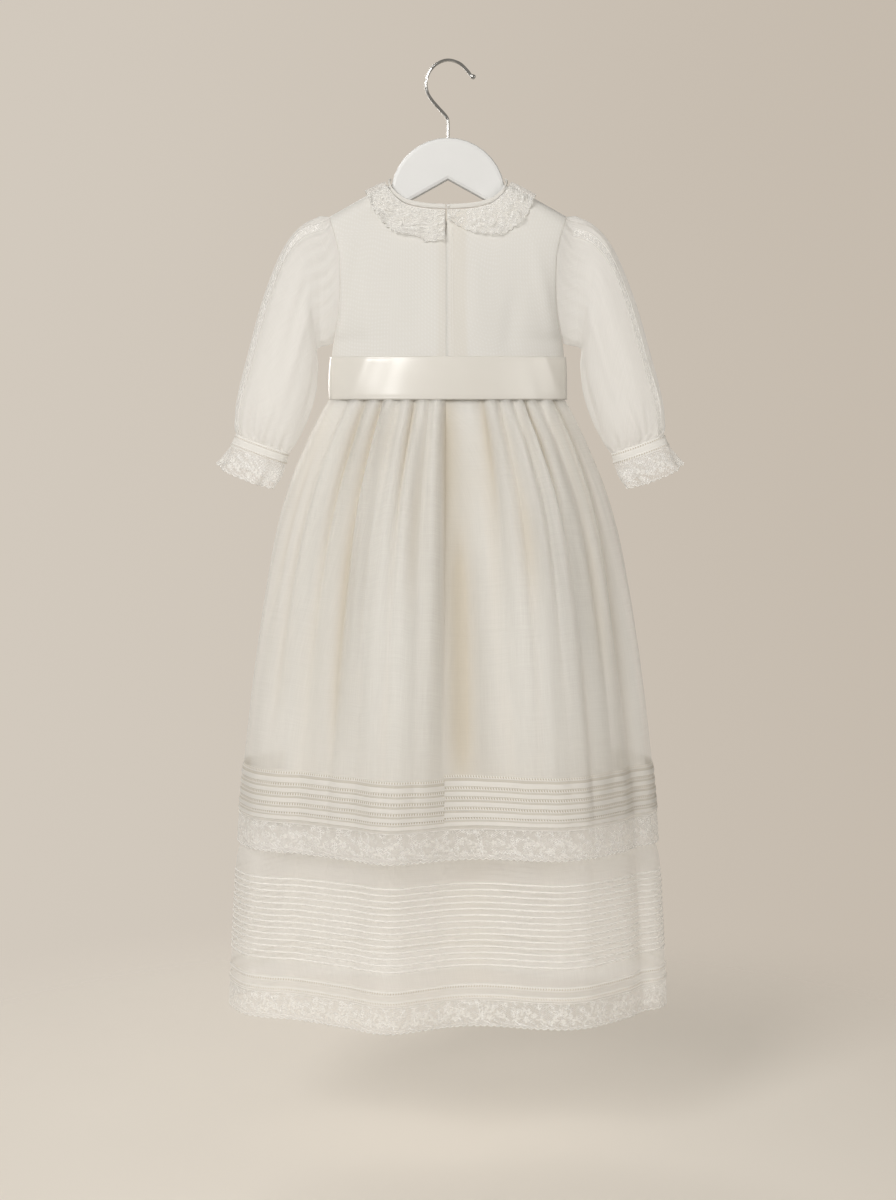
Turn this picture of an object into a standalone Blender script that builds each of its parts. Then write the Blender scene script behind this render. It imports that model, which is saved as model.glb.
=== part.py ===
"""Christening gown on a child's hanger, seen with its back towards -Y.

Every cloth piece is a closed wall between an outer and an inner grid of points.
The origin is the inside top of the hook, where the hanger is held. +Z is up.
Tables are in millimetres and become metres where a mesh is made.
"""
import math

import bmesh
import bpy
from mathutils import Vector

MM = 0.001
SEAM = 0.3
BODICE_WALL = 2.0
CLOTH_WALL = 1.2
LACE_WALL = 1.0
SASH_WALL = 1.4
LINING_WALL = 1.2

WAIST_Z = -332.0
SASH_TOP_Z = -291.0
NECK_HALF = 60.0
NECK_POINT_Z = -120.0
SHOULDER_HALF = 117.0
SHOULDER_Z = -152.0
SHOULDER_SLOPE = (NECK_POINT_Z - SHOULDER_Z) / (SHOULDER_HALF - NECK_HALF)
SHOULDER_ROLL = 14.0
UNDERARM_Z = -277.0
ARMHOLE_GAP = SEAM + 0.1
SASH_GAP = SEAM + 0.2
PLACKET_X = -2.0
PLACKET_UNDERLAP = 10.0
PLACKET_STEP = 1.5
PLACKET_TURN = 4.5

# Armhole and side seam of the bodice: height, half width, half depth there.
BODICE_SIDE = (
    (-152.0, 117.0, 10.0),
    (-154.0, 116.2, 10.5),
    (-160.0, 114.5, 12.0),
    (-172.0, 110.8, 14.0),
    (-195.0, 106.6, 16.0),
    (-222.0, 106.2, 15.0),
    (-250.0, 108.2, 11.0),
    (-266.0, 111.0, 6.5),
    (UNDERARM_Z, 113.6, SEAM / 2),
    (SASH_TOP_Z, 115.0, SEAM / 2),
    (WAIST_Z, 116.2, SEAM / 2),
)
# Half depth of the bodice at its centre: height, depth.
BODICE_DEPTH = (
    (-90.0, 10.0),
    (-120.0, 13.0),
    (-146.0, 15.0),
    (-200.0, 25.0),
    (-250.0, 33.0),
    (-291.0, 38.0),
    (-332.0, 42.0),
)
BODICE_COLUMNS = (0.17, 0.34, 0.47, 0.5, NECK_HALF / SHOULDER_HALF, 0.68, 0.85, 1.0)
# Drop of the bodice's neck edge below the neck point: share of the half width, back, front.
NECKLINE = (
    (0.0, 26.0, 40.0),
    (0.17, 25.0, 38.0),
    (0.34, 21.0, 31.0),
    (0.47, 10.0, 12.0),
    (0.5, 2.5, 2.5),
    (NECK_HALF / SHOULDER_HALF, 0.0, 0.0),
)
NECKBAND_HEIGHT = 4.6
NECKBAND_WALL = 1.6
NECKBAND_GAP = 1.2
NECKBAND_LIFT = 0.7
# Near the shoulder the band stands higher and leans in, within these distances of it.
NECKBAND_SHOULDER_LIFT = 1.3
NECKBAND_LIFT_REACH = 9.0
NECKBAND_LEAN_REACH = 5.0
NECKBAND_LEAN_UP = -0.6
NECKBAND_LEAN_OUT = (0.9, 0.4)

# Collar edge: share of the way from centre back to centre front, width left, width right.
COLLAR_WIDTH = (
    (0.0, 34.0, 14.0),
    (0.1, 34.0, 24.0),
    (0.25, 29.0, 32.0),
    (0.4, 26.0, 32.0),
    (0.5, 24.0, 30.0),
    (0.6, 26.0, 29.0),
    (0.75, 31.0, 31.0),
    (1.0, 33.0, 33.0),
)
COLLAR_SECTIONS = 18
COLLAR_ROWS = (0.05, 0.5, 1.0)
COLLAR_RIPPLE = 1.6
COLLAR_RIPPLES = 6
COLLAR_LIFT = 1.0
COLLAR_ROLL = 2.2
COLLAR_ROLL_REACH = 9.0
COLLAR_CENTRE_X = 1.5
COLLAR_SHIFT_TURN = 0.25

# Skirt tiers: height, half width, half depth, depth of the gathers, depth of the folds.
OVERSKIRT = (
    (-332.4, 115.5, 41.0, 2.3, 0.0),
    (-344.0, 121.0, 46.0, 3.2, 0.0),
    (-372.0, 135.0, 57.0, 3.0, 0.4),
    (-430.0, 159.0, 74.0, 2.0, 0.9),
    (-482.0, 173.4, 84.0, 1.0, 1.0),
    (-585.0, 191.2, 97.0, 0.3, 1.0),
    (-700.0, 205.0, 108.0, 0.0, 1.0),
    (-741.8, 209.0, 111.0, 0.0, 1.0),
)
OVERSKIRT_LACE = (
    (-742.1, 209.0, 111.0, 0.0, 1.0),
    (-757.0, 210.2, 112.0, 0.0, 1.0),
    (-770.0, 210.8, 113.0, 0.0, 1.0),
)
UNDERSKIRT = (
    (-332.4, 111.2, 36.7, 0.0, 0.0),
    (-450.0, 152.0, 60.0, 0.0, 0.6),
    (-600.0, 186.0, 72.0, 0.0, 1.0),
    (-770.0, 206.6, 79.0, 0.0, 1.0),
    (-790.0, 211.8, 82.0, 0.0, 1.0),
    (-842.0, 215.0, 91.0, 0.0, 1.0),
    (-893.6, 218.0, 98.0, 0.0, 1.1),
)
HEM_BAND = (
    (-893.9, 218.0, 98.0, 0.0, 1.1),
    (-910.9, 219.0, 98.0, 0.0, 1.1),
)
HEM_LACE = (
    (-911.2, 219.0, 98.0, 0.0, 1.1),
    (-924.0, 219.5, 98.5, 0.0, 1.1),
    (-935.0, 219.8, 99.0, 0.0, 1.1),
)
LINING = (
    (-332.4, 109.5, 35.0, 0.0, 0.0),
    (-446.0, 136.0, 49.0, 0.0, 0.4),
    (-523.0, 149.0, 55.0, 0.0, 0.6),
    (-636.0, 160.0, 60.0, 0.0, 0.8),
    (-716.0, 165.0, 62.0, 0.0, 0.8),
)
# Valleys between the gathers at the waist of the back, from its right side seam, as x.
BACK_VALLEYS = (106.0, 92.0, 77.0, 65.0, 51.0, 35.0, -2.0, -18.0, -34.0, -50.0, -66.0, -84.0, -101.0)
FRONT_GATHERS = 12
# Folds of the skirt: angle round from the right seam by the back, half width, depth.
FOLDS = (
    (26.0, 8.0, -7.0),
    (57.0, 13.0, 14.0),
    (83.0, 12.0, -11.0),
    (105.0, 9.0, 18.0),
    (133.0, 9.0, -6.0),
    (152.0, 9.0, 4.0),
    (205.0, 9.0, -5.0),
    (229.0, 11.0, 12.0),
    (253.0, 9.0, -9.0),
    (276.0, 11.0, 15.0),
    (301.0, 10.0, -8.0),
    (325.0, 10.0, 9.0),
)
BACK_SEAM_X = -2.0

TUCK_EDGES = (-706.0, -714.5, -723.0, -731.0, -738.5)
TUCK_HEIGHT = 1.1
PINTUCK_FIRST = -801.5
PINTUCK_PITCH = -5.88
PINTUCKS = 14
PINTUCK_HEIGHT = 1.0
TUCK_RETURN = 0.8
SCALLOP_DEPTH = 3.0

# Right sleeve rings: outer edge x and z, inner edge x and z, half depth, depth of the gathers.
# The left sleeve is the same, mirrored, and hangs a little closer to the gown.
SLEEVE = (
    (126.0, -152.5, 126.0, -280.0, 21.0, 0.9),
    (140.0, -158.0, 130.0, -284.0, 25.0, 1.3),
    (153.0, -169.0, 129.5, -290.0, 28.0, 0.0),
    (165.0, -187.0, 128.5, -298.0, 30.0, 0.0),
    (184.0, -235.0, 130.0, -318.0, 31.0, 0.0),
    (199.5, -291.0, 141.0, -356.0, 30.0, 0.0),
    (206.5, -318.0, 149.5, -373.0, 28.0, 0.0),
    (211.0, -343.0, 155.0, -381.5, 24.0, 1.1),
    (211.5, -357.0, 157.0, -384.0, 20.5, 1.6),
    (210.0, -366.0, 158.0, -385.0, 18.5, 1.1),
)
CUFF = (
    (210.2, -366.4, 158.0, -385.4, 18.3, 0.0),
    (216.0, -378.6, 160.6, -396.6, 18.8, 0.0),
)
CUFF_LACE = (
    (216.2, -379.0, 160.7, -397.0, 18.8, 0.0),
    (222.0, -388.0, 164.0, -409.0, 22.0, 1.2),
    (227.5, -396.5, 170.5, -418.5, 25.0, 2.4),
)
CUFF_LACE_TILT = 4.0
SLEEVE_LEAN = {"left": 0.0, "right": 0.018}
SLEEVE_SIDE = {"left": -1.0, "right": 1.0}
SLEEVE_GATHERS = 8
SLEEVE_COLUMNS = 16

# Beading band of the cuffs and hem: share of its height, how far it is raised there.
BAND_RIDGES = (
    (0.0, 0.0),
    (0.18, 0.7),
    (0.36, 0.0),
    (0.64, 0.0),
    (0.82, 0.7),
    (1.0, 0.0),
)

HANGER_THICKNESS = 12.0
HANGER_EDGE = 3.5
HANGER_ARCH_RADIUS = 56.5
HANGER_ARCH_CENTRE_Z = -131.2
HANGER_ARM_TIP_X = 103.0
HANGER_ARM_DEPTH = 22.0
HANGER_ARM_DROP = 3.9
HANGER_NOTCH_Z = -116.0
HOOK_WIRE = 3.0
HOOK_SOCKET_DEPTH = 12.0
# Hook wire from the socket to its tip: x, z of the wire's centre.
HOOK_ROUTE = (
    (0.0, -60.0),
    (-1.5, -54.0),
    (-8.5, -46.0),
    (-15.5, -38.0),
    (-20.3, -30.0),
    (-21.6, -20.0),
    (-18.0, -9.5),
    (-10.5, -1.9),
    (0.0, 1.5),
    (11.0, -1.5),
    (18.5, -8.2),
    (22.8, -13.6),
    (26.8, -15.8),
)

WHITE_CLOTH = (0.86, 0.83, 0.76, 1.0)
SATIN = (0.88, 0.86, 0.79, 1.0)
LACE_THREAD = (0.85, 0.81, 0.73, 1.0)
WHITE_PAINT = (0.87, 0.87, 0.85, 1.0)
CHROME = (0.80, 0.80, 0.80, 1.0)


def clear_scene():
    for item in list(bpy.data.objects):
        bpy.data.objects.remove(item, do_unlink=True)


def material(name, colour, roughness, metallic=0.0):
    finish = bpy.data.materials.new(name)
    finish.use_nodes = True
    shader = finish.node_tree.nodes["Principled BSDF"]
    shader.inputs["Base Color"].default_value = colour
    shader.inputs["Roughness"].default_value = roughness
    shader.inputs["Metallic"].default_value = metallic
    finish.diffuse_color = colour
    return finish


def lookup(table, key, column):
    """Value of a table's column at a key, on straight lines between its rows."""
    rows = sorted(table, key=lambda row: row[0])
    if key <= rows[0][0]:
        return rows[0][column]
    for low, high in zip(rows, rows[1:]):
        if key <= high[0]:
            share = (key - low[0]) / (high[0] - low[0])
            return low[column] + share * (high[column] - low[column])
    return rows[-1][column]


def grid_normals(rows, closed):
    """Outward normal at each point of a grid, where rows may differ in length."""
    normals = []
    for i, row in enumerate(rows):
        above = rows[max(i - 1, 0)]
        below = rows[min(i + 1, len(rows) - 1)]
        line = []
        for j in range(len(row)):
            if closed:
                before = row[(j - 1) % len(row)]
                after = row[(j + 1) % len(row)]
            else:
                before = row[max(j - 1, 0)]
                after = row[min(j + 1, len(row) - 1)]
            up = above[matching(j, row, above, closed)]
            down = below[matching(j, row, below, closed)]
            line.append((after - before).cross(down - up).normalized())
        normals.append(line)
    return normals


def matching(j, row, other, closed):
    """Index in another row beside point j of this row."""
    if closed:
        return int(j * len(other) / len(row)) % len(other)
    return round(j * (len(other) - 1) / (len(row) - 1))


def inset(rows, depth, closed, limit=None):
    """Grid moved inwards by the wall's thickness, kept behind the seam by limit."""
    moved = []
    for row, normals in zip(rows, grid_normals(rows, closed)):
        line = [point - normal * depth for point, normal in zip(row, normals)]
        moved.append([limit(point) for point in line] if limit else line)
    return moved


def strip_faces(upper, lower, closed):
    """Faces between two rows of vertices, of equal number or one double the other."""
    faces = []
    if len(upper) == len(lower):
        count = len(upper) if closed else len(upper) - 1
        for j in range(count):
            k = (j + 1) % len(upper)
            faces.append((upper[j], lower[j], lower[k], upper[k]))
        return faces
    coarse, fine = (upper, lower) if len(upper) < len(lower) else (lower, upper)
    count = len(coarse) if closed else len(coarse) - 1
    for j in range(count):
        a = coarse[j]
        b = coarse[(j + 1) % len(coarse)]
        f0 = fine[2 * j]
        f1 = fine[2 * j + 1]
        f2 = fine[(2 * j + 2) % len(fine)]
        fan = [(a, f0, f1), (a, f1, b), (b, f1, f2)]
        faces += fan if coarse is upper else [face[::-1] for face in fan]
    return faces


def wall(name, outer, inner, closed, finish):
    """One closed body between two grids whose end rows match in number."""
    mesh = bmesh.new()
    outside = [[mesh.verts.new(point * MM) for point in row] for row in outer]
    inside = [[mesh.verts.new(point * MM) for point in row] for row in inner]
    faces = []
    for upper, lower in zip(outside, outside[1:]):
        faces += strip_faces(upper, lower, closed)
    for upper, lower in zip(inside, inside[1:]):
        faces += [face[::-1] for face in strip_faces(upper, lower, closed)]
    faces += strip_faces(inside[0], outside[0], closed)
    faces += strip_faces(outside[-1], inside[-1], closed)
    if not closed:
        faces += side_faces(outside, inside, 0)
        faces += [face[::-1] for face in side_faces(outside, inside, -1)]
    for face in faces:
        mesh.faces.new(face)
    bmesh.ops.triangulate(mesh, faces=mesh.faces)
    bmesh.ops.recalc_face_normals(mesh, faces=mesh.faces)
    return mesh_object(name, mesh, finish)


def side_faces(outside, inside, end):
    """Faces that close an open wall along its first or last column, from top to bottom."""
    outer = [row[end] for row in outside]
    inner = [row[end] for row in inside]
    faces = []
    i = 0
    j = 0
    while i < len(outer) - 1 or j < len(inner) - 1:
        outer_next = (outer[i + 1].co - outer[0].co).length if i < len(outer) - 1 else math.inf
        inner_next = (inner[j + 1].co - inner[0].co).length if j < len(inner) - 1 else math.inf
        if outer_next <= inner_next:
            faces.append((inner[j], outer[i + 1], outer[i]))
            i += 1
        else:
            faces.append((inner[j], inner[j + 1], outer[i]))
            j += 1
    return faces


def mesh_object(name, mesh, finish):
    data = bpy.data.meshes.new(name)
    mesh.to_mesh(data)
    mesh.free()
    data.shade_smooth()
    data.set_sharp_from_angle(angle=math.radians(50.0))
    data.materials.append(finish)
    item = bpy.data.objects.new(name, data)
    bpy.context.scene.collection.objects.link(item)
    return item


def neck_edge(share, side):
    """Height of a bodice panel's upper edge at a share of its half width."""
    if share * SHOULDER_HALF >= NECK_HALF:
        return shoulder_line(share * SHOULDER_HALF)
    return NECK_POINT_Z - lookup(NECKLINE, share, 1 if side == "back" else 2)


def shoulder_line(x):
    return SHOULDER_Z + (SHOULDER_HALF - abs(x)) * SHOULDER_SLOPE


def bodice_point(share, level, side, x=None):
    """Outer point of the bodice at a share of its half width and a row's side height."""
    half_width = lookup(BODICE_SIDE, level, 1)
    edge_depth = lookup(BODICE_SIDE, level, 2)
    if x is None:
        x = share * half_width
    share = min(abs(x) / half_width, 1.0)
    z = level
    if level > SASH_TOP_Z:
        top = neck_edge(share, side)
        z = top + (level - SHOULDER_Z) / (SASH_TOP_Z - SHOULDER_Z) * (SASH_TOP_Z - top)
    centre_depth = lookup(BODICE_DEPTH, z, 1)
    depth = edge_depth + (centre_depth - edge_depth) * (1.0 - share ** 2.4) ** 0.55
    below = min(max((shoulder_line(x) - z) / SHOULDER_ROLL, 0.0), 1.0)
    depth = max(depth * math.sqrt(1.0 - (1.0 - below) ** 2), SEAM / 2)
    return Vector((x, -depth if side == "back" else depth, z))


def bodice_at(x, z, side):
    """Outer point of the bodice at a given x and height."""
    share = abs(x) / SHOULDER_HALF
    for _ in range(8):
        top = neck_edge(share, side)
        below = min(max((top - z) / (top - SASH_TOP_Z), 0.0), 1.0)
        level = SHOULDER_Z + below * (SASH_TOP_Z - SHOULDER_Z)
        share = min(abs(x) / lookup(BODICE_SIDE, level, 1), 1.0)
    return bodice_point(share, level, side, x)


def behind_seam(side, x_min=None):
    """Limit that keeps a wall's inner points on their own side of the seams."""
    def limit(point):
        y = min(point.y, -SEAM / 2) if side == "back" else max(point.y, SEAM / 2)
        x = point.x if x_min is None else max(point.x, x_min)
        return Vector((x, y, point.z))
    return limit


def build_bodice(finish):
    levels = [row[0] for row in BODICE_SIDE]
    shares = list(BODICE_COLUMNS)
    both = [-share for share in reversed(shares)] + [0.0] + shares

    front = [[bodice_point(share, level, "front") for share in both] for level in levels]
    wall("bodice_front", front, inset(front, BODICE_WALL, False, behind_seam("front")), False, finish)

    right = []
    left = []
    tucked_in = Vector((0.0, BODICE_WALL + SEAM + 0.2, 0.0))
    for level in levels:
        row = [bodice_point(share, level, "back") for share in reversed(shares)]
        right.append(row + [bodice_point(0.0, level, "back", PLACKET_X)])
        under = [bodice_point(0.0, level, "back", PLACKET_X + PLACKET_UNDERLAP) + tucked_in]
        under.append(bodice_point(0.0, level, "back", PLACKET_X - PLACKET_STEP) + tucked_in)
        under.append(bodice_point(0.0, level, "back", PLACKET_X - PLACKET_TURN))
        left.append(under + [bodice_point(-share, level, "back") for share in shares])
    inner = inset(right, BODICE_WALL, False, behind_seam("back", PLACKET_X))
    wall("bodice_back_right", right, inner, False, finish)
    inner = inset(left, BODICE_WALL, False, behind_seam("back"))
    wall("bodice_back_left", left, inner, False, finish)


def build_sash(finish):
    shares = list(BODICE_COLUMNS)
    both = [-share for share in reversed(shares)] + [0.0] + shares
    for side in ("front", "back"):
        order = both if side == "front" else both[::-1]
        rows = [[bodice_point(share, level, side) for share in order] for level in (SASH_TOP_Z, WAIST_Z)]
        limit = behind_seam(side)
        inner = inset(rows, -SASH_GAP, False, limit)
        outer = inset(rows, -SASH_GAP - SASH_WALL, False, limit)
        wall("sash_" + side, outer, inner, False, finish)


def neck_flat(turn):
    """Neck edge laid flat: x, and distance from the shoulder line, negative at the back."""
    x = NECK_HALF * math.sin(math.pi * turn)
    side = "back" if turn < 0.5 else "front"
    distance = shoulder_line(x) - neck_edge(x / SHOULDER_HALF, side)
    return x, -distance if side == "back" else distance


def draped(x, distance):
    side = "back" if distance < 0.0 else "front"
    return bodice_at(x, shoulder_line(x) - abs(distance), side)


def build_neckband(finish):
    """A band whose sections stand on the bodice's neck edge and lean in at the shoulders."""
    outer = [[], []]
    inner = [[], []]
    quarter = [0.0] + [share for share in BODICE_COLUMNS if share * SHOULDER_HALF <= NECK_HALF]
    right = [(share, "back", 1.0) for share in quarter]
    right += [(share, "front", 1.0) for share in quarter[-2::-1]]
    left = [(share, side, -1.0) for share, side, _ in right[-2::-1]]
    for i, (share, side, mirror) in enumerate(right + left):
        foot = bodice_point(share, SHOULDER_Z, side)
        lean = math.exp(-abs(foot.y) / NECKBAND_LEAN_REACH)
        facing = -1.0 if side == "back" else 1.0
        out_x, out_z = NECKBAND_LEAN_OUT
        up = Vector((NECKBAND_LEAN_UP * lean, 0.0, 1.0)).normalized()
        out = Vector((out_x * lean, facing * (1.0 - lean), out_z * lean)).normalized()
        if share == quarter[-1]:
            foot.y = 0.0
            out.y = 0.0
        if i == 0 or i == len(right + left) - 1:
            foot.x += NECKBAND_GAP / 2 + PLACKET_X * mirror
        gap = NECKBAND_LIFT + NECKBAND_SHOULDER_LIFT * math.exp(-abs(foot.y) / NECKBAND_LIFT_REACH)
        corners = [foot + up * (gap + NECKBAND_HEIGHT), foot + up * gap]
        for row, corner in enumerate(corners):
            for line, point in ((outer, corner), (inner, corner - out * NECKBAND_WALL)):
                line[row].append(Vector((point.x * mirror, point.y, point.z)))
    wall("neckband", outer, inner, False, finish)


def flat_normal(x, distance):
    """Outward normal of the bodice at a point of its flat pattern."""
    step = 1.0
    across = draped(x + step, distance) - draped(x - step, distance)
    along = draped(x, distance + step) - draped(x, distance - step)
    normal = across.cross(along).normalized()
    away = draped(x, distance) - Vector((x * 0.5, 0.0, -230.0))
    return normal if normal.dot(away) > 0.0 else -normal


def build_collar(side, finish):
    """A lace half collar, laid over the bodice from the neck edge outwards."""
    mirror = SLEEVE_SIDE[side]
    column = 1 if side == "left" else 2
    outer = [[] for _ in COLLAR_ROWS]
    inner = [[] for _ in COLLAR_ROWS]
    for i in range(COLLAR_SECTIONS + 1):
        turn = i / COLLAR_SECTIONS
        x, distance = neck_flat(turn)
        ahead = neck_flat(min(turn + 0.01, 1.0))
        behind = neck_flat(max(turn - 0.01, 0.0))
        tangent = Vector((ahead[0] - behind[0], ahead[1] - behind[1])).normalized()
        width = lookup(COLLAR_WIDTH, turn, column)
        scallop = SCALLOP_DEPTH / 2 * (1.0 if i % 2 else -1.0)
        shift = PLACKET_X * max(1.0 - turn / COLLAR_SHIFT_TURN, 0.0)
        for row, share in enumerate(COLLAR_ROWS):
            reach = width * share + (scallop if share == 1.0 else 0.0)
            px = max(x + tangent.y * reach, COLLAR_CENTRE_X)
            ps = distance - tangent.x * reach
            normal = flat_normal(px, ps)
            roll = COLLAR_ROLL * math.exp(-((ps / COLLAR_ROLL_REACH) ** 2))
            ripple = share * COLLAR_RIPPLE * (1.0 + math.cos(turn * 2.0 * math.pi * COLLAR_RIPPLES))
            base = draped(px, ps)
            for line, lift in ((outer, LACE_WALL), (inner, 0.0)):
                point = base + normal * (COLLAR_LIFT + roll + ripple + lift)
                line[row].append(Vector((point.x * mirror + shift, point.y, point.z)))
    wall("collar_" + side, outer, inner, False, finish)


def gather_angles():
    """Angles of the valleys between gathers, from the right seam round by the back."""
    half_width = OVERSKIRT[0][1] + 2.5
    back = [math.degrees(math.acos(x / half_width)) for x in BACK_VALLEYS]
    front = [180.0 + 180.0 * i / FRONT_GATHERS for i in range(1, FRONT_GATHERS)]
    return [0.0] + back + [180.0] + front


def columns(parts):
    """Column angles with their place in the gather: parts columns for each gather."""
    valleys = gather_angles()
    found = []
    for start, end in zip(valleys, valleys[1:] + [360.0]):
        for part in range(parts):
            share = part / parts
            found.append((start + (end - start) * share, -math.cos(2.0 * math.pi * share)))
    return found


def fold_offset(angle):
    total = 0.0
    for centre, half_width, depth in FOLDS:
        away = (angle - centre + 180.0) % 360.0 - 180.0
        total += depth * math.exp(-((away / half_width) ** 2))
    return total


def tier_ring(table, z, parts, raised=0.0, scallop=0.0):
    """Ring of a skirt tier at a height, with its gathers and folds."""
    half_width = lookup(table, z, 1)
    half_depth = lookup(table, z, 2)
    gather = lookup(table, z, 3)
    fold = lookup(table, z, 4)
    ring = []
    for i, (angle, place) in enumerate(columns(parts)):
        turn = math.radians(angle)
        point = Vector((half_width * math.cos(turn), -half_depth * math.sin(turn), z))
        normal = Vector((math.cos(turn) / half_width, -math.sin(turn) / half_depth, 0.0)).normalized()
        point += normal * (gather * place + fold * fold_offset(angle) + raised)
        point.z += scallop / 2 * (1.0 if i % 2 == 0 else -1.0)
        ring.append(point)
    return ring


def panels(names, outer, inner, finish):
    """Cut closed rings into panels at shares of the round, each pulled back from its seams."""
    for name, start, end in names:
        cut = []
        for rows in (outer, inner):
            piece = []
            for row in rows:
                scale = len(row) // len(gather_angles())
                line = [row[j % len(row)].copy() for j in range(start * scale, end * scale + 1)]
                line[0] += (line[1] - line[0]).normalized() * (SEAM / 2)
                line[-1] += (line[-2] - line[-1]).normalized() * (SEAM / 2)
                piece.append(line)
            cut.append(piece)
        wall(name, cut[0], cut[1], False, finish)


def tucked_rows(table, plain, edges, height, parts):
    """Plain rows of a tier with a raised fold edge and its return at each tuck."""
    rows = [(z, 0.0) for z in plain]
    for edge in edges:
        rows += [(edge, height), (edge - TUCK_RETURN, 0.0)]
    rows.sort(reverse=True)
    return [tier_ring(table, z, parts, raised) for z, raised in rows]


def build_overskirt(organza, lace):
    gathered = [row[0] for row in OVERSKIRT[:4]]
    plain = [row[0] for row in OVERSKIRT[4:]]
    outer = [tier_ring(OVERSKIRT, z, 4) for z in gathered]
    outer_plain = [tier_ring(OVERSKIRT, z, 2) for z in plain]
    inner = inset(outer + outer_plain, CLOTH_WALL, True)
    outer += tucked_rows(OVERSKIRT, plain, TUCK_EDGES, TUCK_HEIGHT, 2)
    back_seam = BACK_VALLEYS.index(BACK_SEAM_X) + 1
    side_seam = len(BACK_VALLEYS) + 1
    names = (
        ("overskirt_back_right", 0, back_seam),
        ("overskirt_back_left", back_seam, side_seam),
        ("overskirt_front", side_seam, len(gather_angles())),
    )
    panels(names, outer, inner, organza)
    build_edging("overskirt_lace", OVERSKIRT_LACE, lace)


def build_edging(name, table, lace):
    """Lace edging: a plain top and middle ring and a scalloped lower one."""
    top, middle, low = [row[0] for row in table]
    outer = [tier_ring(table, top, 2), tier_ring(table, middle, 2)]
    outer.append(tier_ring(table, low, 4, 0.0, SCALLOP_DEPTH))
    wall(name, outer, inset(outer, LACE_WALL, True), True, lace)


def build_underskirt(organza, lace, lining):
    plain = [row[0] for row in UNDERSKIRT]
    edges = [PINTUCK_FIRST + PINTUCK_PITCH * i for i in range(PINTUCKS)]
    kept = [z for z in plain if z > PINTUCK_FIRST or z < edges[-1]]
    outer = tucked_rows(UNDERSKIRT, kept, edges, PINTUCK_HEIGHT, 2)
    inner = inset([tier_ring(UNDERSKIRT, z, 2) for z in plain], CLOTH_WALL, True)
    side_seam = len(BACK_VALLEYS) + 1
    names = (
        ("underskirt_back", 0, side_seam),
        ("underskirt_front", side_seam, len(gather_angles())),
    )
    panels(names, outer, inner, organza)

    top, low = HEM_BAND[0][0], HEM_BAND[-1][0]
    outer = [tier_ring(HEM_BAND, top + (low - top) * step, 2, raised) for step, raised in BAND_RIDGES]
    wall("hem_band", outer, inset([outer[0], outer[-1]], LACE_WALL, True), True, lace)
    build_edging("hem_lace", HEM_LACE, lace)

    rings = [tier_ring(LINING, row[0], 1) for row in LINING]
    wall("lining_skirt", rings, inset(rings, LINING_WALL, True), True, lining)


def sleeve_ring(row, side, raised=0.0, tilt=0.0):
    """Oval ring between the outer and inner edge of a sleeve, finer where it is gathered."""
    outer_x, outer_z, inner_x, inner_z, depth, ripple = row
    count = SLEEVE_COLUMNS * 2 if ripple else SLEEVE_COLUMNS
    lean = SLEEVE_LEAN[side]
    outer_x += lean * (SHOULDER_Z - outer_z)
    inner_x += lean * (SHOULDER_Z - inner_z)
    centre = Vector(((outer_x + inner_x) / 2, 0.0, (outer_z + inner_z) / 2))
    half = Vector(((outer_x - inner_x) / 2, 0.0, (outer_z - inner_z) / 2))
    grow = raised / half.length
    ring = []
    for i in range(count):
        turn = 2.0 * math.pi * i / count
        wave = ripple * math.cos(turn * SLEEVE_GATHERS)
        point = centre + half * (math.cos(turn) * (1.0 + grow + wave / half.length))
        point.y = -(depth + raised + wave) * math.sin(turn)
        point.z -= tilt * math.sin(turn)
        ring.append(point)
    return place_ring(ring, side)


def place_ring(ring, side):
    """Ring on the right as it is, or mirrored to the left in the reverse order."""
    if side == "right":
        return ring
    mirrored = [Vector((-point.x, point.y, point.z)) for point in ring]
    return [mirrored[0]] + mirrored[:0:-1]


def armhole_ring(side):
    """Ring just outside the bodice's armhole edge, from its shoulder down the back and up the front."""
    levels = [row[0] for row in BODICE_SIDE if row[0] >= UNDERARM_Z]
    gap = Vector((ARMHOLE_GAP, 0.0, 0.0))
    back = [bodice_point(1.0, level, "back") + gap for level in levels]
    front = [bodice_point(1.0, level, "front") + gap for level in levels[1:-1]]
    ring = back + front[::-1]
    for point in (ring[0], ring[len(levels) - 1]):
        point.y = 0.0
    return place_ring(ring, side)


def build_sleeve(side, organza, lace):
    outer = [armhole_ring(side)] + [sleeve_ring(row, side) for row in SLEEVE]
    wall("sleeve_" + side, outer, inset(outer, CLOTH_WALL, True), True, organza)

    outer = []
    for step, raised in BAND_RIDGES:
        row = [a + (b - a) * step for a, b in zip(*CUFF)]
        outer.append(sleeve_ring(row, side, raised))
    wall("cuff_" + side, outer, inset([outer[0], outer[-1]], LACE_WALL, True), True, lace)

    last = len(CUFF_LACE) - 1
    outer = [sleeve_ring(row, side, tilt=CUFF_LACE_TILT * i / last) for i, row in enumerate(CUFF_LACE)]
    wall("cuff_lace_" + side, outer, inset(outer, LACE_WALL, True), True, lace)


def hanger_outline():
    """Right half of the hanger's edge from the top of its arch to its notch."""
    points = []
    last = math.acos(55.5 / HANGER_ARCH_RADIUS)
    for i in range(9):
        turn = math.pi / 2 + (last - math.pi / 2) * i / 8
        x = HANGER_ARCH_RADIUS * math.cos(turn)
        points.append((x, HANGER_ARCH_CENTRE_Z + HANGER_ARCH_RADIUS * math.sin(turn)))
    slope = math.atan(SHOULDER_SLOPE)
    radius = HANGER_ARM_DEPTH / 2
    centre_x = HANGER_ARM_TIP_X - radius
    centre_z = shoulder_line(centre_x) - HANGER_ARM_DROP - radius / math.cos(slope)
    for i in range(7):
        turn = math.pi / 2 - slope - math.pi * i / 6
        points.append((centre_x + radius * math.cos(turn), centre_z + radius * math.sin(turn)))
    points.append((0.0, HANGER_NOTCH_Z))
    return points


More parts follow.
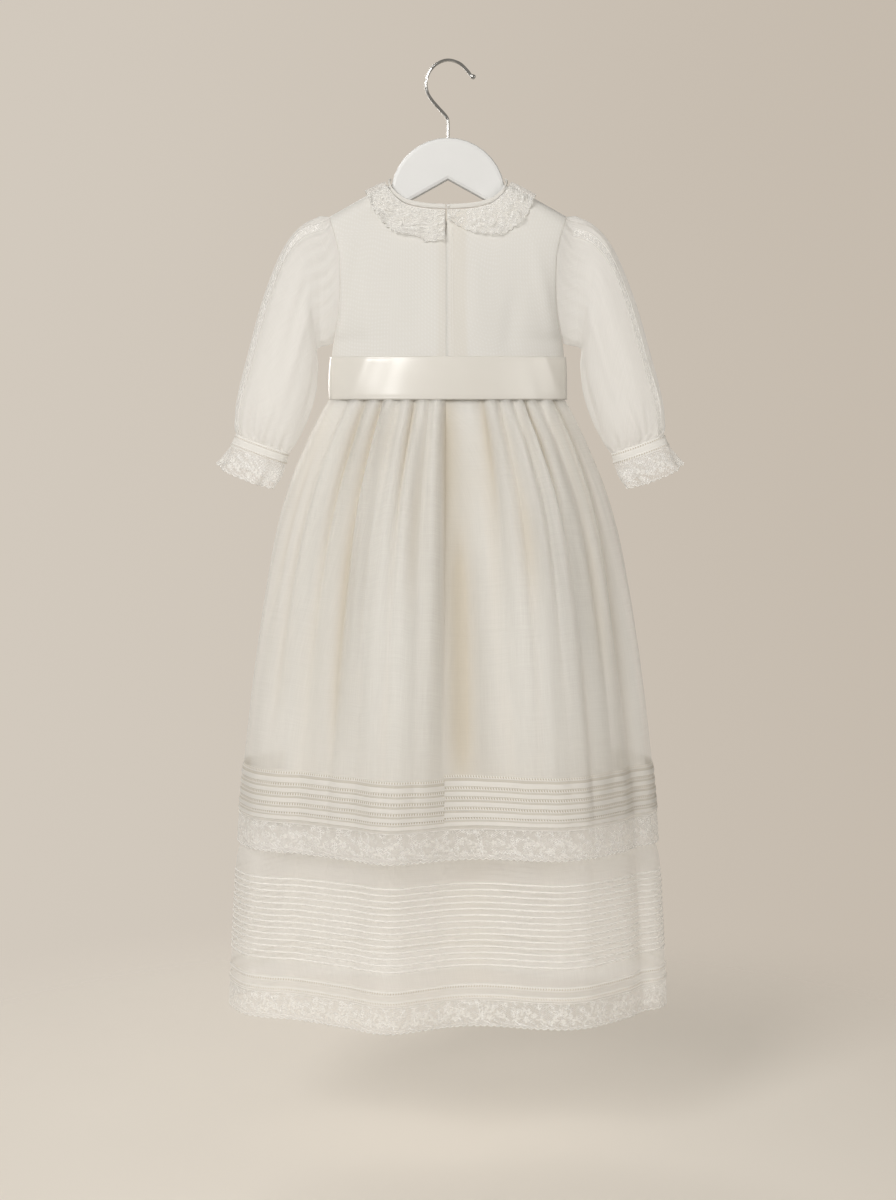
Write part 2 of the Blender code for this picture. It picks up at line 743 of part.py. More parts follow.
def build_hanger(paint, metal):
    half = hanger_outline()
    outline = half + [(-x, z) for x, z in half[-2:0:-1]]
    mesh = bmesh.new()
    depth = HANGER_THICKNESS / 2
    verts = [mesh.verts.new(Vector((x, -depth, z)) * MM) for x, z in outline]
    face = mesh.faces.new(verts)
    grown = bmesh.ops.extrude_face_region(mesh, geom=[face])
    moved = [item for item in grown["geom"] if isinstance(item, bmesh.types.BMVert)]
    bmesh.ops.translate(mesh, vec=Vector((0.0, HANGER_THICKNESS * MM, 0.0)), verts=moved)
    bmesh.ops.recalc_face_normals(mesh, faces=mesh.faces)
    hanger = mesh_object("hanger", mesh, paint)
    edge = hanger.modifiers.new("rounded edge", "BEVEL")
    edge.width = HANGER_EDGE * MM
    edge.segments = 2
    edge.limit_method = "ANGLE"
    edge.angle_limit = math.radians(60.0)

    top = HANGER_ARCH_CENTRE_Z + HANGER_ARCH_RADIUS
    bore = bmesh.new()
    bmesh.ops.create_cone(
        bore,
        cap_ends=True,
        segments=12,
        radius1=(HOOK_WIRE / 2 + SEAM + 0.1) * MM,
        radius2=(HOOK_WIRE / 2 + SEAM + 0.1) * MM,
        depth=2.0 * HOOK_SOCKET_DEPTH * MM,
    )
    bmesh.ops.translate(bore, vec=Vector((0.0, 0.0, top * MM)), verts=bore.verts)
    cutter = mesh_object("hook_socket", bore, paint)
    cutter.hide_render = True
    cutter.display_type = "WIRE"
    cut = hanger.modifiers.new("hook socket", "BOOLEAN")
    cut.object = cutter
    cut.operation = "DIFFERENCE"

    build_hook(top - HOOK_SOCKET_DEPTH + SEAM, metal)


def build_hook(foot_z, metal):
    """Bent wire with a small ball at its free end."""
    anchors = [(0.0, foot_z), (0.0, (foot_z + HOOK_ROUTE[0][1]) / 2)] + list(HOOK_ROUTE)
    route = []
    for i in range(1, len(anchors) - 2):
        for step in range(2):
            route.append(curve_point(anchors[i - 1:i + 3], step / 2))
    route = [anchors[0]] + route + [anchors[-2]]
    end = Vector(anchors[-1]) - Vector(anchors[-2])
    ball = [(0.0, 1.0), (0.25, 1.35), (0.5, 1.5), (0.75, 1.35), (1.0, 0.7)]
    curve = bpy.data.curves.new("hook", "CURVE")
    curve.dimensions = "3D"
    curve.bevel_depth = HOOK_WIRE / 2 * MM
    curve.bevel_resolution = 2
    curve.use_fill_caps = True
    spline = curve.splines.new("POLY")
    spline.points.add(len(route) + len(ball) - 2)
    places = [(x, z, 1.0) for x, z in route[:-1]]
    for share, radius in ball:
        place = Vector(anchors[-2]) + end * share
        places.append((place.x, place.y, radius))
    for point, (x, z, radius) in zip(spline.points, places):
        point.co = (x * MM, 0.0, z * MM, 1.0)
        point.radius = radius
    curve.materials.append(metal)
    item = bpy.data.objects.new("hook", curve)
    bpy.context.scene.collection.objects.link(item)


def curve_point(anchors, share):
    """Point on a smooth curve between the second and third of four anchors."""
    a, b, c, d = [Vector(anchor) for anchor in anchors]
    linear = (c - a) * share
    square = (a * 2.0 - b * 5.0 + c * 4.0 - d) * share ** 2
    cube = (b * 3.0 - a - c * 3.0 + d) * share ** 3
    place = b + (linear + square + cube) * 0.5
    return (place.x, place.y)


def main():
    clear_scene()
    organza = material("organza", WHITE_CLOTH, 0.75)
    lined = material("lined organza", WHITE_CLOTH, 0.7)
    lining = material("lining", WHITE_CLOTH, 0.8)
    satin = material("satin", SATIN, 0.35)
    lace = material("lace", LACE_THREAD, 0.85)
    paint = material("white paint", WHITE_PAINT, 0.35)
    metal = material("chrome", CHROME, 0.2, 1.0)

    build_bodice(lined)
    build_neckband(lined)
    build_sash(satin)
    build_overskirt(organza, lace)
    build_underskirt(organza, lace, lining)
    for side in ("left", "right"):
        build_collar(side, lace)
        build_sleeve(side, organza, lace)
    build_hanger(paint, metal)


main()
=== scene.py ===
"""Looks of a christening gown on its hanger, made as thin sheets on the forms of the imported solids.

Tables are in millimetres and become metres where a mesh is made. The gown's back faces -Y.
"""

import math

import bpy
import numpy as np
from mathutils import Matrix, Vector


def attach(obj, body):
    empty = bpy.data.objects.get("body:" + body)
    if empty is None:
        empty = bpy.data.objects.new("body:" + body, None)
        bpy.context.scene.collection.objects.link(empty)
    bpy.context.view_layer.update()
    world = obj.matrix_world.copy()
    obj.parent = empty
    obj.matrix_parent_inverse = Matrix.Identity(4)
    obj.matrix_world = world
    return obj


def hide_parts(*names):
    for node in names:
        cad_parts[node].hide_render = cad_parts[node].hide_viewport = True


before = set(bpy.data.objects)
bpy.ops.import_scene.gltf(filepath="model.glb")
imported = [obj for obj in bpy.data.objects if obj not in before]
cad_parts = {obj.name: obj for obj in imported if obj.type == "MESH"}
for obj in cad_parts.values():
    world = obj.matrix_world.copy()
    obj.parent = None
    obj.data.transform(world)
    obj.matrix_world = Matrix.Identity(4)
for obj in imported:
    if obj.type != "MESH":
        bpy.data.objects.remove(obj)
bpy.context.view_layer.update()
MM = 0.001

WAIST_Z = -332.0
SASH_TOP_Z = -291.0
NECK_HALF = 60.0
NECK_POINT_Z = -120.0
SHOULDER_HALF = 117.0
SHOULDER_Z = -152.0
UNDERARM_Z = -277.0
SHOULDER_SLOPE = (NECK_POINT_Z - SHOULDER_Z) / (SHOULDER_HALF - NECK_HALF)
SHOULDER_ROLL = 14.0
PLACKET_X = -2.0
PLACKET_UNDERLAP = 10.0

# Armhole and side seam of the bodice: height, half width, half depth there.
BODICE_SIDE = (
    (SHOULDER_Z, 117.0, 10.0),
    (-154.0, 116.2, 10.5),
    (-160.0, 114.5, 12.0),
    (-172.0, 110.8, 14.0),
    (-195.0, 106.6, 16.0),
    (-222.0, 106.2, 15.0),
    (-250.0, 108.2, 11.0),
    (-266.0, 111.0, 6.5),
    (UNDERARM_Z, 113.6, 0.15),
    (SASH_TOP_Z, 115.0, 0.15),
    (WAIST_Z, 116.2, 0.15),
)
# Half depth of the bodice at its centre: height, depth.
BODICE_DEPTH = (
    (-90.0, 10.0),
    (-120.0, 13.0),
    (-146.0, 15.0),
    (-200.0, 25.0),
    (-250.0, 33.0),
    (SASH_TOP_Z, 38.0),
    (WAIST_Z, 42.0),
)
# Drop of the bodice's neck edge below the neck point: share of the half width, back, front.
NECKLINE = (
    (0.0, 26.0, 40.0),
    (0.17, 25.0, 38.0),
    (0.34, 21.0, 31.0),
    (0.47, 10.0, 12.0),
    (0.5, 2.5, 2.5),
    (NECK_HALF / SHOULDER_HALF, 0.0, 0.0),
)
# Collar edge: share of the way from centre back to centre front, width left, width right.
COLLAR_WIDTH = (
    (0.0, 35.0, 11.0),
    (0.07, 34.0, 20.0),
    (0.11, 27.5, 24.0),
    (0.2, 24.0, 25.5),
    (0.27, 21.0, 24.0),
    (0.35, 19.0, 23.5),
    (0.5, 18.0, 23.0),
    (0.62, 22.0, 22.0),
    (0.78, 29.0, 29.0),
    (1.0, 33.0, 33.0),
)
# Skirt tiers: height, half width, half depth, depth of the gathers, depth of the folds.
OVERSKIRT = (
    (-332.4, 115.5, 41.0, 3.2, 0.0),
    (-344.0, 121.0, 46.0, 5.4, 0.0),
    (-372.0, 135.0, 57.0, 6.2, 0.4),
    (-430.0, 159.0, 74.0, 5.4, 0.9),
    (-482.0, 173.4, 84.0, 4.2, 1.0),
    (-585.0, 191.2, 97.0, 2.4, 1.0),
    (-700.0, 205.0, 108.0, 0.9, 1.0),
    (-741.8, 209.0, 111.0, 0.4, 1.0),
)
OVERSKIRT_LACE = (
    (-742.0, 209.0, 111.0, 0.3, 1.0),
    (-757.0, 210.2, 112.0, 0.3, 1.0),
    (-770.0, 210.8, 113.0, 0.3, 1.0),
)
UNDERSKIRT = (
    (-332.4, 113.2, 38.7, 2.0, 0.0),
    (-450.0, 152.0, 62.0, 1.4, 0.6),
    (-600.0, 186.0, 74.0, 0.5, 1.0),
    (-770.0, 206.6, 81.0, 0.3, 1.0),
    (-790.0, 211.8, 82.0, 0.3, 1.0),
    (-842.0, 215.0, 91.0, 0.3, 1.0),
    (-893.8, 218.0, 98.0, 0.3, 1.1),
)
HEM_BAND = (
    (-893.8, 218.0, 98.0, 0.3, 1.1),
    (-911.0, 219.0, 98.0, 0.3, 1.1),
)
HEM_LACE = (
    (-911.0, 219.0, 98.0, 0.3, 1.1),
    (-924.0, 219.5, 98.5, 0.3, 1.1),
    (-935.5, 219.8, 99.0, 0.3, 1.1),
)
LINING = (
    (-332.4, 111.0, 36.5, 2.0, 0.0),
    (-446.0, 136.0, 49.0, 1.6, 0.4),
    (-523.0, 149.0, 55.0, 1.2, 0.6),
    (-636.0, 160.0, 60.0, 1.0, 0.8),
    (-716.0, 165.0, 62.0, 1.0, 0.8),
)
# Valleys between the gathers at the waist of the back, from its right side seam, as x.
BACK_VALLEYS = (106.0, 92.0, 77.0, 65.0, 51.0, 35.0, -2.0, -18.0, -34.0, -50.0, -66.0, -84.0, -101.0)
# How full each gather is, from the right side seam round by the back and then the front.
GATHER_FULLNESS = (
    0.8, 1.25, 0.9, 1.1, 1.2, 1.1, 0.30, 1.3, 1.1, 1.15, 1.35, 1.0, 1.1, 0.9,
    1.0, 0.7, 1.2, 0.9, 1.3, 0.8, 1.1, 0.75, 1.25, 0.9, 1.1, 0.8,
)
# How deep each valley is, from the right side seam round by the back and the front to the seam again.
VALLEY_DEPTH = (
    0.6, 0.9, 0.3, 1.0, 0.35, 0.5, 1.0, 1.0, 0.25, 1.0, 0.3, 1.0, 0.9, 0.3,
    0.6, 1.0, 0.3, 0.9, 0.4, 1.0, 0.3, 0.8, 1.0, 0.35, 0.9, 0.4, 0.6,
)
FRONT_GATHERS = 12
GATHER_COLUMNS = 14
BACK_SEAM = BACK_VALLEYS.index(-2.0) + 1
SIDE_SEAM = len(BACK_VALLEYS) + 1
# Folds of the skirt: angle round from the right seam by the back, half width, depth.
FOLDS = (
    (26.0, 8.0, -7.0),
    (57.0, 13.0, 14.0),
    (83.0, 12.0, -11.0),
    (105.0, 9.0, 18.0),
    (133.0, 9.0, -6.0),
    (152.0, 9.0, 4.0),
    (205.0, 9.0, -5.0),
    (229.0, 11.0, 12.0),
    (253.0, 9.0, -9.0),
    (276.0, 11.0, 15.0),
    (301.0, 10.0, -8.0),
    (325.0, 10.0, 9.0),
)
# Narrow creases of the skirt: angle, half width, depth, height of the upper end, of the lower end.
CREASES = (
    (14.0, 2.2, 2.0, -470.0, -700.0),
    (38.0, 2.4, -2.2, -420.0, -640.0),
    (51.0, 3.2, 3.2, -370.0, -620.0),
    (63.5, 2.2, -2.4, -380.0, -560.0),
    (70.5, 2.8, 3.4, -370.0, -650.0),
    (79.0, 2.2, 2.2, -400.0, -730.0),
    (86.0, 2.4, -4.2, -430.0, -735.0),
    (95.5, 2.4, 3.0, -380.0, -780.0),
    (101.0, 1.8, -2.0, -360.0, -560.0),
    (109.0, 2.6, 2.6, -370.0, -640.0),
    (117.5, 2.6, 3.0, -370.0, -600.0),
    (124.0, 2.2, -2.4, -420.0, -700.0),
    (141.0, 2.8, 3.0, -370.0, -570.0),
    (147.0, 2.0, -1.8, -400.0, -680.0),
    (164.0, 2.4, 2.0, -450.0, -720.0),
    (196.0, 2.4, -2.0, -420.0, -650.0),
    (214.0, 2.6, 2.8, -370.0, -600.0),
    (221.0, 2.2, -2.2, -400.0, -700.0),
    (240.0, 2.8, 3.2, -370.0, -680.0),
    (247.0, 2.2, -2.6, -400.0, -560.0),
    (262.0, 2.4, 2.6, -380.0, -720.0),
    (268.5, 2.0, -2.4, -370.0, -620.0),
    (287.0, 2.6, 3.0, -370.0, -640.0),
    (294.0, 2.2, -2.4, -430.0, -740.0),
    (312.0, 2.6, 2.8, -370.0, -590.0),
    (332.0, 2.4, -2.2, -400.0, -660.0),
    (347.0, 2.4, 2.2, -450.0, -720.0),
)
# Tucks of the overskirt: height of the stitching, height of the folded edge.
TUCKS = (
    (-695.1, -702.1),
    (-706.2, -711.4),
    (-715.6, -721.2),
    (-725.2, -730.6),
    (-733.6, -738.0),
)
PINTUCK_FIRST = -801.5
PINTUCK_PITCH = -5.88
PINTUCKS = 14
PINTUCK_DEPTH = 1.9
# Step of the tucks at the centre back seam: its height, its reach sideways, its top, how it fades.
SEAM_STEP = 4.5
STEP_REACH = 45.0
STEP_TOP_Z = -560.0
STEP_SOFT = 26.0
# Shares of a hollow's depth that tucks and gathers give; hollows get painted shade, and the rows between
# tucks a painted shadow.
TUCK_SHADE = 0.55
HOLLOW_GATHER = 0.17

# Right sleeve rings: outer edge x and z, inner edge x and z, half depth.
SLEEVE = (
    (126.0, -152.5, 126.0, -280.0, 21.0),
    (140.0, -158.0, 130.0, -284.0, 25.0),
    (153.0, -169.0, 129.5, -290.0, 28.0),
    (165.0, -187.0, 128.5, -298.0, 30.0),
    (184.0, -235.0, 130.0, -318.0, 31.0),
    (199.5, -291.0, 141.0, -356.0, 30.0),
    (206.5, -318.0, 149.5, -373.0, 28.0),
    (211.0, -343.0, 155.0, -381.5, 24.0),
    (211.5, -357.0, 157.0, -384.0, 20.5),
    (210.0, -366.0, 158.0, -385.0, 18.5),
)
CUFF = (
    (210.2, -366.4, 158.0, -385.4, 18.3),
    (216.0, -378.6, 160.6, -396.6, 18.8),
)
CUFF_LACE = (
    (216.2, -379.0, 160.7, -397.0, 18.8),
    (222.0, -388.0, 164.0, -409.0, 22.0),
    (227.5, -396.5, 170.5, -418.5, 25.0),
)
SLEEVE_LEAN = {"left": 0.0, "right": 0.018}
# Creases of a sleeve: angle round from its outer edge by the back, half width, depth,
# ring of the upper end, ring of the lower end, turn on the way down.
SLEEVE_CREASES = (
    (24.0, 7.0, 1.6, 0.2, 3.4, 8.0),
    (52.0, 8.0, 1.8, 0.0, 4.2, -10.0),
    (84.0, 9.0, -1.8, 0.6, 5.0, 14.0),
    (116.0, 9.0, 2.2, 1.0, 5.6, -16.0),
    (150.0, 9.0, -2.2, 2.6, 6.4, 18.0),
    (172.0, 8.0, 2.0, 3.4, 7.4, -8.0),
    (206.0, 9.0, -2.0, 1.8, 6.0, 10.0),
    (238.0, 9.0, 2.2, 0.4, 5.0, -14.0),
    (272.0, 9.0, -1.8, 0.8, 5.6, 12.0),
    (306.0, 8.0, 1.8, 0.0, 4.0, -8.0),
    (336.0, 7.0, -1.4, 0.6, 3.2, 8.0),
    (34.0, 6.0, 1.8, 5.2, 9.0, -6.0),
    (66.0, 6.0, -1.8, 5.6, 9.0, 8.0),
    (98.0, 7.0, 2.0, 5.0, 9.0, -8.0),
    (134.0, 7.0, -1.6, 5.6, 9.0, 6.0),
    (222.0, 7.0, 1.8, 5.4, 9.0, 8.0),
    (262.0, 7.0, -1.8, 5.2, 9.0, -8.0),
    (298.0, 6.0, 1.8, 5.6, 9.0, 6.0),
)

HOOK_FOOT_Z = -86.4
HOOK_ROUTE = (
    (0.0, HOOK_FOOT_Z),
    (0.0, -72.0),
    (0.0, -60.0),
    (-1.5, -54.0),
    (-8.5, -46.0),
    (-15.5, -38.0),
    (-20.3, -30.0),
    (-21.6, -20.0),
    (-18.0, -9.5),
    (-10.5, -1.9),
    (0.0, 1.5),
    (11.0, -1.5),
    (18.5, -8.2),
    (22.8, -13.6),
    (26.8, -15.8),
)

# Radii of the cords and of the lines of stitches.
LACE_CORD = 0.38
COLLAR_CORD = 0.32
INSERTION_CORD = 0.28
HEM_STITCHES = 0.25
PLACKET_STITCHES = 0.22
# Width and depth of one scallop of the lace edges.
SCALLOP = 6.6
SCALLOP_DEPTH = 1.7

# Names of the UV map and of the mesh attribute for hollows, which sets their painted shade, and the ending
# of a sheet's name.
UV = "cloth"
HOLLOW = "hollow"
SHEET = "_sheet"


def curve(table, column):
    """Smooth function through a column of a table, of the table's first column, with no overshoot."""
    keys, values = np.array(sorted((row[0], row[column]) for row in table), float).T
    steps = np.diff(keys)
    slopes = np.diff(values) / steps
    tangents = np.concatenate(([slopes[0]], slopes[1:], [slopes[-1]]))
    for i in range(1, len(slopes)):
        product = slopes[i - 1] * slopes[i]
        tangents[i] = 2.0 * product / (slopes[i - 1] + slopes[i]) if product > 0.0 else 0.0

    def value(key):
        key = np.clip(key, keys[0], keys[-1])
        i = np.clip(np.searchsorted(keys, key, side="right") - 1, 0, len(steps) - 1)
        t = (key - keys[i]) / steps[i]
        start = (2.0 * t ** 3 - 3.0 * t ** 2 + 1.0) * values[i]
        start_slope = (t ** 3 - 2.0 * t ** 2 + t) * steps[i] * tangents[i]
        end = (3.0 * t ** 2 - 2.0 * t ** 3) * values[i + 1]
        end_slope = (t ** 3 - t ** 2) * steps[i] * tangents[i + 1]
        return start + start_slope + end + end_slope

    return value


def window(value, start, end, soft):
    """1 between start and end, fading to 0 over soft at both ends."""
    low, high = min(start, end), max(start, end)
    rise = np.clip((value - low) / soft, 0.0, 1.0)
    fall = np.clip((high - value) / soft, 0.0, 1.0)
    both = rise * fall
    return both * both * (3.0 - 2.0 * both)


def grid_normals(points, closed):
    """Outward normals of a grid of rows by columns."""
    if closed:
        along = np.roll(points, -1, 1) - np.roll(points, 1, 1)
    else:
        along = np.gradient(points, axis=1)
    down = np.gradient(points, axis=0)
    normals = np.cross(along, down)
    return normals / np.maximum(np.linalg.norm(normals, axis=2, keepdims=True), 1e-9)


def displaced(points, closed, offset):
    return points + grid_normals(points, closed) * offset[..., None]


def distances(points, axis, closed=False):
    """Distance run along rows (axis 1) or down columns (axis 0), one more along a closed row."""
    if closed:
        points = np.concatenate((points, points[:, :1]), axis=1)
    steps = np.linalg.norm(np.diff(points, axis=axis), axis=2)
    start = np.zeros_like(steps[:, :1] if axis == 1 else steps[:1])
    return np.concatenate((start, np.cumsum(steps, axis=axis)), axis=axis)


def new_object(name, verts, faces, finish, uvs=None):
    """Mesh object from points in millimetres, with one UV for each face corner."""
    mesh = bpy.data.meshes.new(name)
    mesh.from_pydata((np.asarray(verts) * MM).tolist(), [], faces)
    if uvs is not None:
        layer = mesh.uv_layers.new(name=UV)
        layer.uv.foreach_set("vector", (np.asarray(uvs, np.float32) * MM).ravel())
    mesh.shade_smooth()
    mesh.materials.append(finish)
    item = bpy.data.objects.new(name, mesh)
    bpy.context.scene.collection.objects.link(item)
    return item


def cloth(name, points, finish, closed=False, wall=0.0, hollow=None):
    """Sheet over a grid of rows, top to bottom, by columns. Its UV is the flat place in metres."""
    rows, columns = points.shape[:2]
    across = distances(points, 1, closed)
    down = distances(points, 0)
    if closed:
        down = np.concatenate((down, down[:, :1]), axis=1)
    count = columns if closed else columns - 1
    r, c = np.meshgrid(np.arange(rows - 1), np.arange(count), indexing="ij")
    r, c = r.ravel(), c.ravel()
    corners = ((r, c), (r, c + 1), (r + 1, c + 1), (r + 1, c))
    faces = np.stack([a * columns + b % columns for a, b in corners], axis=1)
    uvs = np.stack([np.stack((across[a, b], down[a, b]), axis=1) for a, b in corners], axis=1)
    item = new_object(name + SHEET, points.reshape(-1, 3), faces.tolist(), finish, uvs)
    # How deep in a fold each point lies; its material paints shade there.
    if hollow is not None:
        depth = item.data.attributes.new(HOLLOW, "FLOAT", "POINT")
        depth.data.foreach_set("value", np.asarray(hollow, np.float32).ravel())
    if wall:
        shell = item.modifiers.new("wall", "SOLIDIFY")
        shell.thickness = wall * MM
        shell.offset = -1.0
    return item


def laid(points, closed, across, down, lift):
    """Points on a grid at shares across and down it, from 0 to 1, moved outwards by lift."""
    rows, columns = points.shape[:2]
    normals = grid_normals(points, closed)
    count = columns if closed else columns - 1
    c = (across % 1.0 if closed else np.clip(across, 0.0, 1.0)) * count
    r = np.clip(down, 0.0, 1.0) * (rows - 1)
    c0 = np.minimum(c.astype(int), count - 1)
    r0 = np.minimum(r.astype(int), rows - 2)
    c1 = (c0 + 1) % columns
    fc, fr = (c - c0)[..., None], (r - r0)[..., None]

    def blend(grid):
        top = grid[r0, c0] * (1.0 - fc) + grid[r0, c1] * fc
        low = grid[r0 + 1, c0] * (1.0 - fc) + grid[r0 + 1, c1] * fc
        return top * (1.0 - fr) + low * fr

    return blend(points) + blend(normals) * np.asarray(lift)[..., None]


def tube(path, radius, sides=6, closed=False):
    """Vertices and faces of a round cord along a path."""
    path = np.asarray(path, float)
    if closed:
        ahead = np.roll(path, -1, 0) - np.roll(path, 1, 0)
    else:
        ahead = np.gradient(path, axis=0)
    ahead /= np.maximum(np.linalg.norm(ahead, axis=1, keepdims=True), 1e-9)
    side = np.cross(ahead, (0.0, 0.0, 1.0))
    flat = np.linalg.norm(side, axis=1, keepdims=True) < 0.2
    side = np.where(flat, np.cross(ahead, (1.0, 0.0, 0.0)), side)
    side /= np.linalg.norm(side, axis=1, keepdims=True)
    up = np.cross(side, ahead)
    turn = 2.0 * np.pi * np.arange(sides) / sides
    radius = np.broadcast_to(np.asarray(radius, float), (len(path),))[:, None, None]
    ring = side[:, None] * np.cos(turn)[None, :, None] + up[:, None] * np.sin(turn)[None, :, None]
    verts = (path[:, None] + ring * radius).reshape(-1, 3)
    faces = []
    for i in range(len(path) if closed else len(path) - 1):
        a, b = i * sides, (i + 1) % len(path) * sides
        for k in range(sides):
            m = (k + 1) % sides
            faces.append((a + k, a + m, b + m, b + k))
    if not closed:
        faces.append(tuple(range(sides))[::-1])
        faces.append(tuple(range(len(verts) - sides, len(verts))))
    return verts, faces


def cords(name, paths, radius, finish, closed=False):
    """Several round cords as one object."""
    verts, faces = [], []
    for path in paths:
        some, turns = tube(path, radius, closed=closed)
        start = sum(len(part) for part in verts)
        verts.append(some)
        faces += [tuple(start + i for i in face) for face in turns]
    return new_object(name, np.concatenate(verts), faces, finish)


# Outline of one embroidered leaf: share along it, share of its half width; the last is its middle.
LEAF = (
    (0.0, 0.0), (0.22, 0.85), (0.55, 1.0), (0.85, 0.5), (1.0, 0.0),
    (0.85, -0.5), (0.55, -1.0), (0.22, -0.85), (0.5, 0.0),
)
LEAF_LIFT = 0.12
LEAF_RAISE = 0.35


def embroidery(name, points, closed, motif, repeat, start, finish):
    """Leaves laid on a grid: motif rows are across, down, length, width and angle, in mm."""
    across_total = distances(points, 1, closed)[points.shape[0] // 2, -1]
    down_total = distances(points, 0).mean(axis=1)[-1]
    count = max(int(round(across_total / repeat)), 1)
    leaf = np.array(LEAF)
    motif = np.array(motif, float)
    shift = (np.arange(count) + 0.5) * across_total / count
    angle = np.radians(motif[:, 4])[:, None]
    along = leaf[None, :, 0] * motif[:, 2][:, None]
    wide = leaf[None, :, 1] * motif[:, 3][:, None] / 2.0
    x = motif[:, 0][:, None] + along * np.cos(angle) - wide * np.sin(angle)
    y = motif[:, 1][:, None] + along * np.sin(angle) + wide * np.cos(angle)
    x = (x[None] + shift[:, None, None]) / across_total
    y = np.broadcast_to((y[None] + start) / down_total, x.shape)
    lift = np.full(x.shape, LEAF_LIFT)
    lift[..., -1] = LEAF_RAISE
    verts = laid(points, closed, x, y, lift).reshape(-1, 3)
    size = len(LEAF)
    faces = []
    for base in range(0, len(verts), size):
        for k in range(size - 1):
            faces.append((base + k, base + (k + 1) % (size - 1), base + size - 1))
    return new_object(name, verts, faces, finish)


def joined(name, items):
    """One object from several with the same material."""
    with bpy.context.temp_override(active_object=items[0], selected_editable_objects=items):
        bpy.ops.object.join()
    items[0].name = name
    items[0].data.name = name
    return items[0]


# Materials


class Nodes:
    """Short calls for the node tree of a material or a world."""

    def __init__(self, owner):
        self.owner = owner
        owner.use_nodes = True
        self.tree = owner.node_tree
        self.tree.nodes.clear()

    def add(self, kind, inputs=None, **settings):
        item = self.tree.nodes.new(kind)
        for key, value in settings.items():
            setattr(item, key, value)
        for key, value in (inputs or {}).items():
            if isinstance(value, bpy.types.NodeSocket):
                self.tree.links.new(value, item.inputs[key])
            else:
                item.inputs[key].default_value = value
        return item

    def math(self, operation, *values, clamp=False):
        return self.add(
            "ShaderNodeMath", dict(enumerate(values)), operation=operation, use_clamp=clamp
        ).outputs[0]

    def scaled(self, value, factor, offset, clamp=False):
        """A value times a factor plus an offset."""
        return self.math("MULTIPLY_ADD", value, factor, offset, clamp=clamp)

    def mix(self, factor, first, second):
        return self.add("ShaderNodeMixShader", {0: factor, 1: first, 2: second}).outputs[0]

    def blend(self, factor, first, second):
        """Colour between two colours."""
        inputs = {0: factor, 6: first, 7: second}
        return self.add("ShaderNodeMix", inputs, data_type="RGBA").outputs[2]

    def gloss(self, colour, rough, normal, **more):
        """Main shader; more names its other sockets, with _ for a space."""
        inputs = {"Base Color": colour, "Roughness": rough}
        if normal is not None:
            inputs["Normal"] = normal
        for key, value in more.items():
            inputs[key.replace("_", " ")] = value
        return self.add("ShaderNodeBsdfPrincipled", inputs).outputs[0]

    def lit_through(self, share, colour, front):
        """Some of the light comes through from behind."""
        back = self.add("ShaderNodeBsdfTranslucent", {"Color": colour}).outputs[0]
        return self.mix(share, front, back)

    def covering(self, cover, shader):
        """The shader hides only some of what lies behind."""
        clear = self.add("ShaderNodeBsdfTransparent").outputs[0]
        return self.mix(cover, clear, shader)

    def flat_place(self):
        """Place on the flat cloth, in metres: across and down."""
        place = self.add("ShaderNodeUVMap", uv_map=UV).outputs[0]
        split = self.add("ShaderNodeSeparateXYZ", {0: place})
        return place, split.outputs[0], split.outputs[1]

    def solid_place(self):
        """Place in the object, in metres."""
        return self.add("ShaderNodeTexCoord").outputs["Object"]

    def fading(self, value, start, end, first=0.0, last=1.0):
        """Smooth change from first to last, as value goes from start to end."""
        inputs = {"Value": value, "From Min": start, "From Max": end, "To Min": first, "To Max": last}
        return self.add("ShaderNodeMapRange", inputs, interpolation_type="SMOOTHSTEP").outputs[0]

    def noise(self, place, scale, detail=2.0, stretch=(1.0, 1.0, 1.0)):
        moved = self.add("ShaderNodeMapping", {"Vector": place, "Scale": stretch}).outputs[0]
        return self.add(
            "ShaderNodeTexNoise", {"Vector": moved, "Scale": scale, "Detail": detail}
        ).outputs[0]

    def thread(self, distance, pitch):
        """Wave from 0 to 1 across threads of a pitch in metres."""
        wave = self.math("SINE", self.math("MULTIPLY", distance, 2.0 * math.pi / pitch))
        return self.scaled(wave, 0.5, 0.5)

    def bump(self, height, strength, distance):
        return self.add(
            "ShaderNodeBump", {"Height": height, "Strength": strength, "Distance": distance}
        ).outputs[0]

    def finish(self, shader):
        self.add("ShaderNodeOutputMaterial", {"Surface": shader})
        return self.owner


def material(name):
    return Nodes(bpy.data.materials.new(name))


# Pitches of the two moire waves, the net's hatched threads, its cells and the holes, in metres.
MOIRE_PITCHES = (0.0042, 0.0031)
HATCH_PITCH = 0.0016
NET_CELL = 0.0021
HOLE_PITCH = 0.0026
HATCH_ANGLES = (58.0, 122.0)
# Share of the painted fold shade in the deepest fold.
FOLD_SHADE_SHARE = 0.85


def weave(nodes, pitch):
    """Height of a plain weave, its threads' unevenness, and the flat place as a whole, across and down."""
    place, across, down = nodes.flat_place()
    warp = nodes.noise(place, 1.0, 2.0, (1500.0, 26.0, 1.0))
    weft = nodes.noise(place, 1.0, 2.0, (26.0, 1500.0, 1.0))
    uneven = nodes.scaled(nodes.math("ADD", warp, weft), 0.5, 0.0)
    threads = nodes.math("MULTIPLY", nodes.thread(across, pitch), nodes.thread(down, pitch))
    return nodes.scaled(uneven, 1.2, threads), uneven, place, across, down


